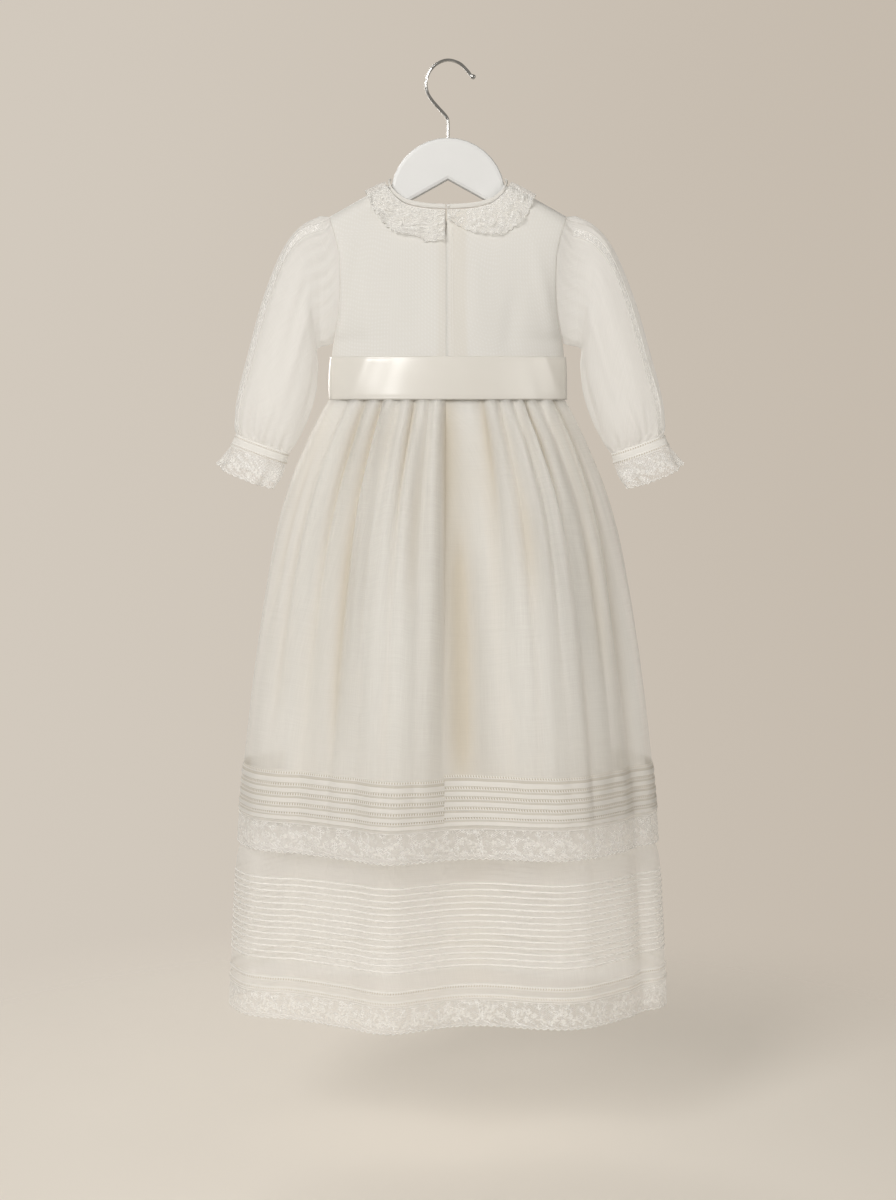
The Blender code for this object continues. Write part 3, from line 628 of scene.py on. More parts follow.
def woven(name, colour, shade, cover=1.0, pitch=0.0007, sheen=0.2, through=0.25, moire=0.0):
    """Woven cloth: cover is the share it hides of what lies behind, more in a hollow; through is light.
    Hollows get painted shade.
    """
    nodes = material(name)
    height, uneven, place, across, down = weave(nodes, pitch)
    cloudy = nodes.noise(place, 14.0, 3.0)
    hollow = nodes.add("ShaderNodeAttribute", attribute_name=HOLLOW).outputs["Fac"]
    tone = nodes.scaled(uneven, 0.7, nodes.scaled(cloudy, 0.5, -0.1), clamp=True)
    if moire:
        warped = nodes.scaled(nodes.noise(place, 26.0, 2.0), 0.018, nodes.math("MULTIPLY", across, 0.7))
        first = nodes.thread(nodes.math("ADD", warped, down), MOIRE_PITCHES[0])
        second = nodes.thread(across, MOIRE_PITCHES[1])
        tone = nodes.scaled(nodes.math("ADD", first, second), -moire, tone, clamp=True)
    # Painted shade: the colour darkens towards the fold shade as the point lies deeper in a fold.
    fold_shade = nodes.math("MULTIPLY", hollow, FOLD_SHADE_SHARE, clamp=True)
    colours = nodes.blend(fold_shade, nodes.blend(tone, shade, colour), PAINTED_FOLD_SHADE)
    front = nodes.gloss(
        colours, 0.7, nodes.bump(height, 0.22, 0.0002),
        Sheen_Weight=sheen, Sheen_Roughness=0.35, Specular_IOR_Level=0.3,
    )
    shader = nodes.lit_through(through, colours, front)
    if cover < 1.0:
        swing = nodes.scaled(uneven, 0.14, cover - 0.07)
        shader = nodes.covering(nodes.scaled(hollow, 0.5, swing, clamp=True), shader)
    return nodes.finish(shader)


def netting(name, colour, shade):
    """Lace ground: a fine uneven net with hatched threads, denser in patches, and clear between them."""
    nodes = material(name)
    place, across, down = nodes.flat_place()
    inputs = {"Vector": place, "Scale": 1.0 / NET_CELL}
    web = nodes.add("ShaderNodeTexVoronoi", inputs, feature="DISTANCE_TO_EDGE").outputs["Distance"]
    knots = nodes.scaled(web, -1.0 / 0.16, 1.25, clamp=True)
    lines = []
    for degrees in HATCH_ANGLES:
        turn = math.radians(degrees)
        along = nodes.scaled(down, math.sin(turn), nodes.math("MULTIPLY", across, math.cos(turn)))
        phase = nodes.math("FRACT", nodes.math("MULTIPLY", along, 1.0 / HATCH_PITCH))
        edge = nodes.math("ABSOLUTE", nodes.math("SUBTRACT", phase, 0.5))
        lines.append(nodes.scaled(edge, -1.0 / 0.17, 1.2, clamp=True))
    hatch = nodes.math("MAXIMUM", *lines)
    dense = nodes.scaled(nodes.noise(place, 150.0, 4.0), 5.0, -2.1, clamp=True)
    cover = nodes.scaled(hatch, 0.36, 0.10)
    cover = nodes.scaled(nodes.math("MULTIPLY", knots, dense), 0.65, cover, clamp=True)
    colours = nodes.blend(nodes.math("MAXIMUM", knots, hatch), shade, colour)
    front = nodes.gloss(
        colours, 0.85, nodes.bump(cover, 0.5, 0.0002), Sheen_Weight=0.15, Specular_IOR_Level=0.2,
    )
    return nodes.finish(nodes.covering(cover, nodes.lit_through(0.3, colours, front)))


def beading(name, rows, cover, between):
    """Band with one or two stitched rows of small holes: rows are their heights down it, in metres. The
    holes get painted shade.
    """
    nodes = material(name)
    place, across, down = nodes.flat_place()
    spots, ridges = [], []
    dash = nodes.scaled(nodes.thread(across, HOLE_PITCH), 2.4, -0.9, clamp=True)
    for row in rows:
        away = nodes.math("ABSOLUTE", nodes.math("SUBTRACT", down, row))
        near = nodes.scaled(away, -1.0 / 0.0011, 1.4, clamp=True)
        spots.append(nodes.math("MULTIPLY", near, dash))
        ridges.append(nodes.scaled(away, -1.0 / 0.0014, 2.0, clamp=True))
    holes = nodes.math("MAXIMUM", spots[0], spots[-1])
    raised = nodes.math("MAXIMUM", ridges[0], ridges[-1])
    uneven = nodes.noise(place, 1.0, 2.0, (1400.0, 60.0, 1.0))
    thread = nodes.blend(nodes.math("MAXIMUM", uneven, raised), THREAD_SHADE, THREAD)
    # Painted shade in the holes, for the dark seen through them.
    colours = nodes.blend(holes, thread, PAINTED_HOLE_SHADE)
    front = nodes.gloss(
        colours, 0.75, nodes.bump(nodes.math("SUBTRACT", uneven, holes), 0.5, 0.0004),
        Sheen_Weight=0.2, Specular_IOR_Level=0.25,
    )
    solid = nodes.scaled(raised, cover - between, between)
    return nodes.finish(nodes.covering(solid, nodes.lit_through(0.25, colours, front)))


def stitched(name, cover=1.0):
    """Embroidery and cord thread; cover below 1 is for flat satin stitch on net."""
    nodes = material(name)
    place = nodes.solid_place()
    twist = nodes.noise(place, 900.0, 3.0)
    colours = nodes.blend(twist, THREAD_SHADE, THREAD)
    front = nodes.gloss(
        colours, 0.7, nodes.bump(twist, 0.15, 0.0002), Sheen_Weight=0.25, Specular_IOR_Level=0.3,
    )
    shader = nodes.lit_through(0.2, THREAD, front)
    if cover < 1.0:
        shader = nodes.covering(nodes.scaled(twist, 0.4, cover - 0.2, clamp=True), shader)
    return nodes.finish(shader)


def satin_weave(name, colour, shade):
    nodes = material(name)
    place = nodes.flat_place()[0]
    floats = nodes.noise(place, 1.0, 2.0, (40.0, 2600.0, 1.0))
    cloudy = nodes.noise(place, 22.0, 2.0)
    return nodes.finish(nodes.gloss(
        nodes.blend(cloudy, shade, colour), nodes.scaled(floats, 0.12, 0.24),
        nodes.bump(nodes.math("ADD", floats, cloudy), 0.12, 0.0005),
        Specular_IOR_Level=0.55, Sheen_Weight=0.25, Sheen_Roughness=0.3,
        Coat_Weight=0.35, Coat_Roughness=0.35,
    ))


def painted_wood(name):
    nodes = material(name)
    place = nodes.solid_place()
    brushed = nodes.noise(place, 1.0, 3.0, (60.0, 400.0, 400.0))
    paint = nodes.blend(nodes.noise(place, 22.0, 2.0), PAINT_SHADE, PAINT)
    return nodes.finish(nodes.gloss(
        paint, nodes.scaled(brushed, 0.14, 0.32), nodes.bump(brushed, 0.06, 0.0006), Specular_IOR_Level=0.45,
    ))


def polished_wire(name):
    nodes = material(name)
    place = nodes.solid_place()
    worn = nodes.noise(place, 240.0, 3.0)
    metal = nodes.blend(worn, CHROME_SHADE, CHROME)
    return nodes.finish(nodes.gloss(
        metal, nodes.scaled(worn, 0.12, 0.12), nodes.bump(worn, 0.05, 0.0003), Metallic=1.0,
    ))


def plain_stage(name, colour, inner, outer):
    """Pale floor that fades out between two radii."""
    nodes = material(name)
    place = nodes.solid_place()
    cloudy = nodes.noise(place, 3.0, 3.0)
    darker = [c * 0.97 for c in colour[:3]] + [1.0]
    front = nodes.gloss(nodes.blend(cloudy, darker, colour), 0.9, None, Specular_IOR_Level=0.1)
    reach = nodes.add("ShaderNodeVectorMath", {0: place}, operation="LENGTH").outputs["Value"]
    return nodes.finish(nodes.covering(nodes.fading(reach, inner, outer, 1.0, 0.0), front))


IVORY = (0.895, 0.88, 0.85, 1.0)
IVORY_SHADE = (0.82, 0.795, 0.745, 1.0)
SHEER = (0.985, 0.975, 0.955, 1.0)
SHEER_SHADE = (0.94, 0.92, 0.88, 1.0)
THREAD = (0.975, 0.96, 0.925, 1.0)
THREAD_SHADE = (0.92, 0.895, 0.845, 1.0)
# Painted shade for folds, for the band along the back opening and for the rows between tucks.
PAINTED_FOLD_SHADE = (0.72, 0.65, 0.53, 1.0)
# Painted shade in the beading's holes.
PAINTED_HOLE_SHADE = (0.60, 0.53, 0.43, 1.0)
PAINT = (0.81, 0.805, 0.79, 1.0)
PAINT_SHADE = (0.76, 0.755, 0.74, 1.0)
CHROME = (0.68, 0.67, 0.65, 1.0)
CHROME_SHADE = (0.50, 0.49, 0.47, 1.0)
LINING_PALE = (0.96, 0.945, 0.91, 1.0)
LINING_SHADE = (0.92, 0.90, 0.86, 1.0)
NET_SHADE = (0.95, 0.935, 0.905, 1.0)
SATIN_PALE = (0.765, 0.73, 0.67, 1.0)
SATIN_SHADE = (0.71, 0.675, 0.61, 1.0)
# Heights of the stitched rows down the hemstitching, the hem's band and the cuffs' bands.
HEMSTITCH_ROWS = (0.0012,)
BAND_ROWS = (0.0036, 0.0136)
CUFF_ROWS = (0.0026, 0.0112)

ORGANZA = woven("organza", SHEER, SHEER_SHADE, cover=0.38, through=0.35)
SLEEVE_ORGANZA = woven("sleeve organza", SHEER, SHEER_SHADE, cover=0.52, through=0.35)
TUCK_CLOTH = woven("tucked organza", SHEER_SHADE, THREAD_SHADE, cover=0.92, through=0.2)
PINTUCK_CLOTH = woven("pintucked organza", SHEER_SHADE, THREAD_SHADE, through=0.15)
LINED = woven("lined organza", IVORY, IVORY_SHADE, through=0.12, moire=0.55)
LINING_CLOTH = woven("lining", LINING_PALE, LINING_SHADE, pitch=0.0006, sheen=0.1, through=0.15)
SATIN_CLOTH = satin_weave("satin", SATIN_PALE, SATIN_SHADE)
NET = netting("lace net", SHEER, NET_SHADE)
EMBROIDERY = stitched("lace thread")
SATIN_STITCH = stitched("satin stitch", cover=0.62)
HEMSTITCH = beading("hemstitch", HEMSTITCH_ROWS, cover=0.75, between=0.2)
BAND = beading("beading band", BAND_ROWS, cover=0.90, between=0.40)
CUFF_BAND = beading("cuff beading", CUFF_ROWS, cover=0.92, between=0.70)


# Bodice

SIDE_WIDTH = curve(BODICE_SIDE, 1)
SIDE_DEPTH = curve(BODICE_SIDE, 2)
CENTRE_DEPTH = curve(BODICE_DEPTH, 1)
NECK_DROP = {"back": curve(NECKLINE, 1), "front": curve(NECKLINE, 2)}


def shoulder_line(x):
    return SHOULDER_Z + (SHOULDER_HALF - np.abs(x)) * SHOULDER_SLOPE


def neck_edge(share, side):
    """Height of the bodice's upper edge at a share of its half width."""
    hollow = NECK_POINT_Z - NECK_DROP[side](share)
    return np.where(share * SHOULDER_HALF >= NECK_HALF, shoulder_line(share * SHOULDER_HALF), hollow)


def bodice_points(x, level, side):
    """Outer points of the bodice at x and a row's side height."""
    share = np.minimum(np.abs(x) / SIDE_WIDTH(level), 1.0)
    top = neck_edge(share, side)
    run = (level - SHOULDER_Z) / (SASH_TOP_Z - SHOULDER_Z)
    z = np.where(level > SASH_TOP_Z, top + run * (SASH_TOP_Z - top), level)
    edge = SIDE_DEPTH(level)
    depth = edge + (CENTRE_DEPTH(z) - edge) * np.power(1.0 - share ** 2.4, 0.55)
    below = np.clip((shoulder_line(x) - z) / SHOULDER_ROLL, 0.0, 1.0)
    depth = np.maximum(depth * np.sqrt(1.0 - (1.0 - below) ** 2), 0.15)
    return np.stack((x + z * 0.0, (-depth if side == "back" else depth), z), axis=-1)


def bodice_at(x, z, side):
    """Outer points of the bodice at x and height z."""
    share = np.abs(x) / SHOULDER_HALF
    for _ in range(8):
        top = neck_edge(share, side)
        below = np.clip((top - z) / (top - SASH_TOP_Z), 0.0, 1.0)
        level = SHOULDER_Z + below * (SASH_TOP_Z - SHOULDER_Z)
        share = np.minimum(np.abs(x) / SIDE_WIDTH(level), 1.0)
    return bodice_points(x, level, side)


# Soft creases of the bodice: x, height, half width, half height, depth, slope of the crease.
BODICE_CREASES = {
    "back": (
        (-96.0, -230.0, 7.0, 42.0, -1.0, 0.18),
        (-78.0, -262.0, 9.0, 34.0, 0.9, -0.15),
        (-30.0, -240.0, 12.0, 46.0, -0.7, 0.06),
        (26.0, -230.0, 12.0, 50.0, 0.7, -0.06),
        (62.0, -258.0, 10.0, 36.0, -0.9, 0.12),
        (94.0, -228.0, 7.0, 40.0, 0.9, -0.2),
    ),
    "front": (
        (-92.0, -226.0, 7.0, 40.0, -1.0, 0.2),
        (-58.0, -256.0, 10.0, 36.0, 0.9, -0.1),
        (-12.0, -236.0, 13.0, 48.0, -0.7, 0.05),
        (38.0, -244.0, 12.0, 44.0, 0.8, -0.08),
        (80.0, -258.0, 9.0, 34.0, -0.9, 0.14),
        (98.0, -224.0, 7.0, 40.0, 0.9, -0.18),
    ),
}
BODICE_WALL = 0.6
SLIT_END_Z = -180.0
SLIT_OPENING = 1.1
SLIT_SOFT = 24.0
PLACKET_FACING = 22.0
PLACKET_STITCHING_IN = 6.4
STITCHING_POINTS = 60


def bodice_grid(x_shares, side, start=None):
    """Grid of a bodice panel. start fixes the x of the column at the opening."""
    levels = np.concatenate((np.linspace(SHOULDER_Z, -172.0, 16), np.linspace(-175.0, WAIST_Z, 52)))
    shares = np.asarray(x_shares)[None, :]
    level = levels[:, None] + 0.0 * shares
    x = shares * SIDE_WIDTH(level)
    if start is not None:
        x = np.where(shares == 0.0, start, x)
    points = bodice_points(x, level, side)
    relief = np.zeros(level.shape)
    for at_x, at_z, wide, tall, depth, slope in BODICE_CREASES[side]:
        away = (points[..., 0] - at_x - (points[..., 2] - at_z) * slope) / wide
        up = (points[..., 2] - at_z) / tall
        relief += 1.7 * depth * np.exp(-away ** 2 - up ** 2)
    edge = np.clip((shoulder_line(points[..., 0]) - points[..., 2]) / SHOULDER_ROLL, 0.0, 1.0)
    side_edge = np.clip((SIDE_WIDTH(level) - np.abs(points[..., 0])) / 8.0, 0.0, 1.0)
    return displaced(points, False, relief * edge * side_edge)


def build_bodice():
    shares = np.sin(np.linspace(0.0, math.pi / 2, 44))
    shares[-1] = 1.0
    front = bodice_grid(np.concatenate((-shares[:0:-1], shares)), "front")
    pieces = [cloth("bodice_front", front, LINED, wall=BODICE_WALL)]
    right = bodice_grid(shares[::-1], "back", PLACKET_X)
    open_top = window(right[:, -1, 2], SLIT_END_Z, NECK_POINT_Z, SLIT_SOFT)
    right[:, -1, 0] += SLIT_OPENING * open_top
    # Painted shade along the opening, in the band where the facing lies.
    facing = 0.26 * window(right[..., 0], PLACKET_X + 1.0, PLACKET_X + PLACKET_FACING, 2.0)
    pieces.append(cloth("bodice_back_right", right, LINED, wall=BODICE_WALL, hollow=facing))
    left = bodice_grid(-shares, "back", PLACKET_X + PLACKET_UNDERLAP)
    tuck = np.exp(-np.maximum(PLACKET_X - 1.0 - left[..., 0], 0.0) / 1.6)
    left = displaced(left, False, -1.1 * tuck)
    open_top = window(left[:, 0, 2], SLIT_END_Z, NECK_POINT_Z, SLIT_SOFT)
    left[:, 0, 0] -= (PLACKET_UNDERLAP + 0.2) * np.minimum(open_top * 3.0, 1.0)
    # Painted shade along the opening on the left panel, in the band of its facing.
    facing = 0.16 * window(left[..., 0], PLACKET_X, PLACKET_X - PLACKET_UNDERLAP, 1.5)
    pieces.append(cloth("bodice_back_left", left, LINED, wall=BODICE_WALL, hollow=facing))
    down = np.linspace(0.0, 1.0, STITCHING_POINTS)
    across = np.full(STITCHING_POINTS, 1.0 - PLACKET_STITCHING_IN / (2.0 * SHOULDER_HALF))
    path = laid(right, False, across, down, np.full(STITCHING_POINTS, 0.05))
    return pieces + [cords("placket_stitching", [path], PLACKET_STITCHES, EMBROIDERY)]


# Soft creases of the sash: x at its middle, slope, half width, depth.
SASH_CREASES = (
    (-113.0, 0.0, 1.2, 0.5),
    (-104.0, 0.35, 6.0, -0.8),
    (-86.0, 0.45, 7.0, 0.9),
    (-58.0, 0.3, 9.0, -0.5),
    (88.0, -0.3, 8.0, -0.8),
    (102.0, -0.4, 5.0, 0.9),
    (113.0, 0.0, 1.2, 0.5),
)
SASH_MIDDLE_Z = -311.0
# Heights of the sash's two seams, as shares of its width.
SASH_SEAMS = (0.97, 0.03)


def build_sash():
    shares = np.sin(np.linspace(-math.pi / 2, math.pi / 2, 90))
    levels = np.linspace(SASH_TOP_Z + 0.6, WAIST_Z - 0.4, 26)
    made = []
    for side in ("back", "front"):
        order = shares[::-1] if side == "back" else shares
        level = levels[:, None] + np.zeros(len(order))[None, :]
        x = order[None, :] * SIDE_WIDTH(level)
        points = bodice_points(x, np.minimum(level, SASH_TOP_Z), side)
        points[..., 2] = level
        up = (level - WAIST_Z) / (SASH_TOP_Z - WAIST_Z)
        relief = 1.9 + 0.5 * np.sin(math.pi * np.clip(up, 0.0, 1.0))
        relief += 0.35 * np.sin(x / 23.0 + up * 2.0) * up * (1.0 - up) * 4.0
        for at, slope, wide, depth in SASH_CREASES:
            relief += depth * np.exp(-((x - at - (level - SASH_MIDDLE_Z) * slope) / wide) ** 2)
        for seam in SASH_SEAMS:
            relief -= 0.35 * np.exp(-((up - seam) / 0.03) ** 2)
        made.append(cloth("sash_" + side, displaced(points, False, relief), SATIN_CLOTH, wall=0.7))
    return made


def neck_sections():
    """Right half of the neck edge, from centre back to centre front: share and side."""
    quarter = np.sin(np.linspace(0.0, math.pi / 2, 26)) * NECK_HALF / SHOULDER_HALF
    back = [(share, "back") for share in quarter]
    front = [(share, "front") for share in quarter[-2::-1]]
    return back + front


NECKBAND_GAP = 1.2
NECKBAND_HEIGHT = 4.6
NECKBAND_WALL = 1.6
NECKBAND_COLUMNS = 12
BUTTON_RADIUS = 1.45
BUTTON_SIDES = 14


def squared(share):
    """Share of a round section, moved towards a square one."""
    return math.copysign(abs(share) ** 0.7, share)


def unit(vector):
    vector = np.array(vector)
    return vector / np.linalg.norm(vector)


def neck_ring(share, side, mirror, at_opening):
    """Rounded section of the band at one place of the neck edge."""
    foot = bodice_points(np.array(share * SHOULDER_HALF), np.array(SHOULDER_Z), side)
    lean = math.exp(-abs(foot[1]) / 5.0)
    facing = -1.0 if side == "back" else 1.0
    up = unit((-0.6 * lean, 0.0, 1.0))
    out = unit((0.9 * lean, facing * (1.0 - lean), 0.4 * lean))
    if share >= NECK_HALF / SHOULDER_HALF - 1e-6:
        foot[1] = 0.0
        out[1] = 0.0
    if at_opening:
        foot[0] += NECKBAND_GAP / 2 + PLACKET_X * mirror
    gap = 0.4 + 1.3 * math.exp(-abs(foot[1]) / 9.0)
    middle = foot + up * (gap + NECKBAND_HEIGHT / 2) - out * NECKBAND_WALL / 2
    ring = []
    for turn in np.linspace(0.0, 2.0 * math.pi, NECKBAND_COLUMNS, endpoint=False):
        tall = squared(math.sin(turn)) * NECKBAND_HEIGHT / 2
        wide = squared(math.cos(turn)) * NECKBAND_WALL / 2
        ring.append((middle + up * tall + out * wide) * (mirror, 1.0, 1.0))
    return ring


def build_neckband():
    right = [(share, side, 1.0) for share, side in neck_sections()]
    places = right + [(share, side, -1.0) for share, side, _ in right[-2::-1]]
    last = len(places) - 1
    rows = np.array([neck_ring(*place, i in (0, last)) for i, place in enumerate(places)])
    caps = []
    for ring in (rows[0], rows[-1]):
        middle = ring.mean(axis=0)
        caps.append((middle + (ring - middle) * 0.05)[None])
    band = cloth("neckband", np.concatenate((caps[0], rows, caps[1])), LINED, closed=True)
    turns = np.linspace(0.0, math.pi / 2, 7)
    path = rows[0].mean(axis=0) + np.array([(2.0, -0.9 - 1.5 * math.sin(turn), 0.3) for turn in turns])
    button, faces = tube(path, BUTTON_RADIUS * np.cos(turns) + 0.02, BUTTON_SIDES)
    knob = new_object("neck_button", button, [face for face in faces if len(face) == 4], EMBROIDERY)
    return band, knob


# Collar


def neck_flat(turn):
    """Neck edge laid flat: x, and distance from the shoulder line, negative at the back."""
    x = NECK_HALF * np.sin(math.pi * turn)
    back = -(shoulder_line(x) - neck_edge(x / SHOULDER_HALF, "back"))
    front = shoulder_line(x) - neck_edge(x / SHOULDER_HALF, "front")
    return x, np.where(turn < 0.5, back, front)


def draped(x, distance):
    z = shoulder_line(x) - np.abs(distance)
    behind = (distance < 0.0)[..., None]
    return np.where(behind, bodice_at(x, z, "back"), bodice_at(x, z, "front"))


def scalloped(points, grow):
    """Lowers the rows of a closed edging in scallops; grow is each row's share of their depth."""
    run = distances(points, 1, True)[-1]
    count = int(round(run[-1] / SCALLOP))
    scallop = np.abs(np.sin(math.pi * count * run[:-1] / run[-1]))
    points[..., 2] -= grow[:, None] * (scallop[None] - 0.5) * SCALLOP_DEPTH


def lace_piece(stem, ending, points, closed, paths, radius, sprig):
    """Lace net with its edge cord and sprigs; a sprig is its motif, repeat and start."""
    net = cloth(stem + ending, points, NET, closed=closed)
    cord = cords(stem + "_cord" + ending, paths, radius, EMBROIDERY, closed=closed)
    leaves = embroidery(stem + "_sprigs" + ending, points, closed, *sprig, SATIN_STITCH)
    return net, cord, leaves


COLLAR_COLUMNS = 290
COLLAR_EDGE = 215.0
COLLAR_MIDDLE_Z = -230.0


def collar_normals(base, px, ps):
    """Outward normals of the cloth below the collar, for points laid flat at px and ps."""
    across = draped(px + 1.0, ps) - draped(px - 1.0, ps)
    along = draped(px, ps + 1.0) - draped(px, ps - 1.0)
    normal = np.cross(across, along)
    normal /= np.maximum(np.linalg.norm(normal, axis=2, keepdims=True), 1e-9)
    away = base - np.stack((px * 0.5, px * 0.0, px * 0.0 + COLLAR_MIDDLE_Z), axis=-1)
    return normal * np.sign((normal * away).sum(axis=2, keepdims=True))


def build_collar(side):
    mirror = -1.0 if side == "left" else 1.0
    turn = np.linspace(0.0, 1.0, COLLAR_COLUMNS)
    share = np.linspace(0.04, 1.0, 22)[:, None]
    width = curve(COLLAR_WIDTH, 1 if side == "left" else 2)(turn)
    x, distance = neck_flat(turn)
    ahead = neck_flat(np.minimum(turn + 0.01, 1.0))
    behind = neck_flat(np.maximum(turn - 0.01, 0.0))
    tangent = np.stack((ahead[0] - behind[0], ahead[1] - behind[1]))
    tangent /= np.linalg.norm(tangent, axis=0)
    scallop = SCALLOP_DEPTH * np.abs(np.sin(math.pi * (turn * COLLAR_EDGE / SCALLOP)))
    reach = share * width + (share ** 8) * (scallop - 0.8)
    sideways = tangent[1] * np.clip(np.minimum(turn, 1.0 - turn) / 0.2, 0.0, 1.0)
    px = np.maximum(x + sideways * reach, 1.2)
    ps = distance - tangent[0] * reach
    base = draped(px, ps)
    roll = 2.2 * np.exp(-((ps / 9.0) ** 2))
    wave = 1.0 + np.cos(turn * 2.0 * math.pi * 6.0 + 0.6 * np.sin(turn * 19.0))
    fine = 1.0 + np.cos(turn * 2.0 * math.pi * 17.0 + 1.2 * np.sin(turn * 23.0))
    lift = 0.9 + roll + share * 2.3 * wave + 0.3 * fine * (0.4 + 0.6 * share)
    points = base + collar_normals(base, px, ps) * lift[..., None]
    points[..., 0] = points[..., 0] * mirror + PLACKET_X * np.maximum(1.0 - turn / 0.25, 0.0)
    if side == "left":
        points = points[:, ::-1]
    sprig = (COLLAR_SPRIG, 19.0, 4.0)
    return lace_piece("collar", "_" + side, points, False, [points[-1]], COLLAR_CORD, sprig)


def flower(across, down, length, width, turned=0.0):
    """Five petals round one point, as leaves of a motif."""
    return tuple((across, down, length, width, turned + 72.0 * i) for i in range(5))


# Leaves of one repeat of the embroidery: across, down, length, width, angle.
COLLAR_SPRIG = (
    (-7.0, 17.0, 4.6, 1.9, -35.0),
    (-3.8, 14.6, 4.4, 1.9, -75.0),
    (-4.2, 14.2, 4.2, 1.8, -5.0),
    (-0.6, 11.8, 4.4, 1.9, -60.0),
    (-0.6, 11.6, 4.2, 1.8, 10.0),
    (2.8, 9.2, 4.2, 1.9, -45.0),
    (2.8, 9.0, 3.8, 1.7, 30.0),
    (5.6, 6.4, 3.8, 1.7, -30.0),
) + flower(5.2, 15.6, 2.6, 1.6)
HEM_SPRIG = (
    (-13.0, 17.5, 5.4, 2.1, -42.0),
    (-9.2, 14.8, 5.0, 2.0, -82.0),
    (-9.4, 14.4, 5.0, 2.0, -8.0),
    (-5.2, 11.6, 5.0, 2.0, -68.0),
    (-5.2, 11.4, 5.0, 2.0, 4.0),
    (-1.2, 8.6, 4.8, 2.0, -56.0),
    (-1.2, 8.4, 4.6, 1.9, 16.0),
    (2.6, 5.6, 4.4, 1.9, -40.0),
    (2.6, 5.6, 4.2, 1.8, 30.0),
    (13.4, 18.0, 5.2, 2.0, 222.0),
    (9.6, 14.6, 4.8, 2.0, 262.0),
    (9.8, 14.6, 4.8, 2.0, 190.0),
    (6.4, 11.6, 4.4, 1.9, 250.0),
) + flower(2.4, 15.4, 2.9, 1.7, 18.0)
OVER_SPRIG = (
    (-12.0, 19.5, 5.4, 2.1, -30.0),
    (-8.2, 17.0, 5.0, 2.0, -70.0),
    (-7.6, 16.8, 5.0, 2.0, 2.0),
    (-3.8, 14.0, 5.0, 2.0, -62.0),
    (-3.6, 13.8, 4.8, 2.0, 12.0),
    (0.2, 10.8, 4.8, 2.0, -50.0),
    (0.2, 10.6, 4.4, 1.9, 24.0),
    (3.8, 7.8, 4.4, 1.9, -34.0),
) + flower(9.4, 9.8, 2.9, 1.7) + (
    (6.2, 21.0, 4.6, 1.9, -58.0),
    (6.4, 20.6, 4.6, 1.9, -12.0),
)


# Skirt


UNDER_CREASE = 0.5
LINING_CREASE = 0.35
LINING_HEM = 14.0
CREASE_SOFT = 90.0
EDGING_COLUMNS = 1280
BAND_COLUMNS = 520
LINING_COLUMNS = 8
# Widths of the centre back seam allowance, in degrees from the seam.
SEAM_ANGLES = (-0.9, -0.5, 0.0, 0.5, 0.9)
# Places of the ridges down a beading band, as shares of its width.
BAND_RIDGES = (0.18, 0.82)


def plain_rows(*runs):
    """Rows of a tier with no relief of their own: each run is its first and last height and its count."""
    return [(z, 0.0) for run in runs for z in np.linspace(*run)]


def band_ridge(share, soft):
    """Ridges of a beading band at a share of its width."""
    return max(math.exp(-(((share - place) / soft) ** 2)) for place in BAND_RIDGES)


def valley_angles():
    half_width = OVERSKIRT[0][1] + 2.5
    back = [math.degrees(math.acos(x / half_width)) for x in BACK_VALLEYS]
    front = [180.0 + 180.0 * i / FRONT_GATHERS for i in range(1, FRONT_GATHERS)]
    return np.array([0.0] + back + [180.0] + front + [360.0])


VALLEYS = valley_angles()
GATHERS = len(VALLEYS) - 1


def ring_angles(per_gather, start=0, end=GATHERS):
    """Angles of the columns between two seams, evenly in each gather."""
    angles = []
    for low, high in zip(VALLEYS[start:end], VALLEYS[start + 1:end + 1]):
        angles += list(low + (high - low) * np.arange(per_gather) / per_gather)
    if (start, end) != (0, GATHERS):
        angles.append(VALLEYS[end])
    return np.array(angles)


def gather_shape(angles, z):
    """Gathers: share of a ridge from 0 to 1, its height, and the depth of the valleys beside it."""
    i = np.clip(np.searchsorted(VALLEYS, angles, side="right") - 1, 0, GATHERS - 1)
    share = (angles - VALLEYS[i]) / (VALLEYS[i + 1] - VALLEYS[i])
    below = np.clip((WAIST_Z - z) / 180.0, 0.0, 1.0)
    fullness = np.array(GATHER_FULLNESS)[i]
    fullness = fullness + (fullness - 1.0) * below * 0.8
    skew = share + 0.09 * np.sin(i * 2.3 + z / 60.0) * np.sin(math.pi * share)
    ridge = np.abs(np.sin(math.pi * skew)) ** 1.15
    depth = np.array(VALLEY_DEPTH)
    valley = depth[i] + (depth[i + 1] - depth[i]) * share
    peak = 2.0 * np.maximum(fullness, 0.05) - 1.0
    small = np.exp(-(WAIST_Z - z) / 11.0) * 0.28 * (1.0 - np.cos(6.0 * math.pi * share)) / 2.0
    return ridge, peak - small, valley


def gather_relief(angles, z):
    """Relief of the gathers, down in the valleys and up on the ridges."""
    ridge, peak, valley = gather_shape(angles, z)
    return ridge * peak - (1.0 - ridge) * valley


def angle_from(angles, centre):
    """Angles from a centre, between -180 and 180 degrees."""
    return (angles - centre + 180.0) % 360.0 - 180.0


def fold_relief(angles, z):
    total = np.zeros(np.broadcast(angles, z).shape)
    for centre, half_width, depth in FOLDS:
        total = total + depth * np.exp(-((angle_from(angles, centre) / half_width) ** 2))
    return total


def crease_relief(angles, z):
    total = np.zeros(np.broadcast(angles, z).shape)
    for centre, half_width, depth, top, low in CREASES:
        spread = 1.0 + (top - z) / 500.0
        away = angle_from(angles, centre) / half_width / spread
        total = total + depth * np.exp(-(away ** 2)) * window(z, top, low, CREASE_SOFT)
    return total


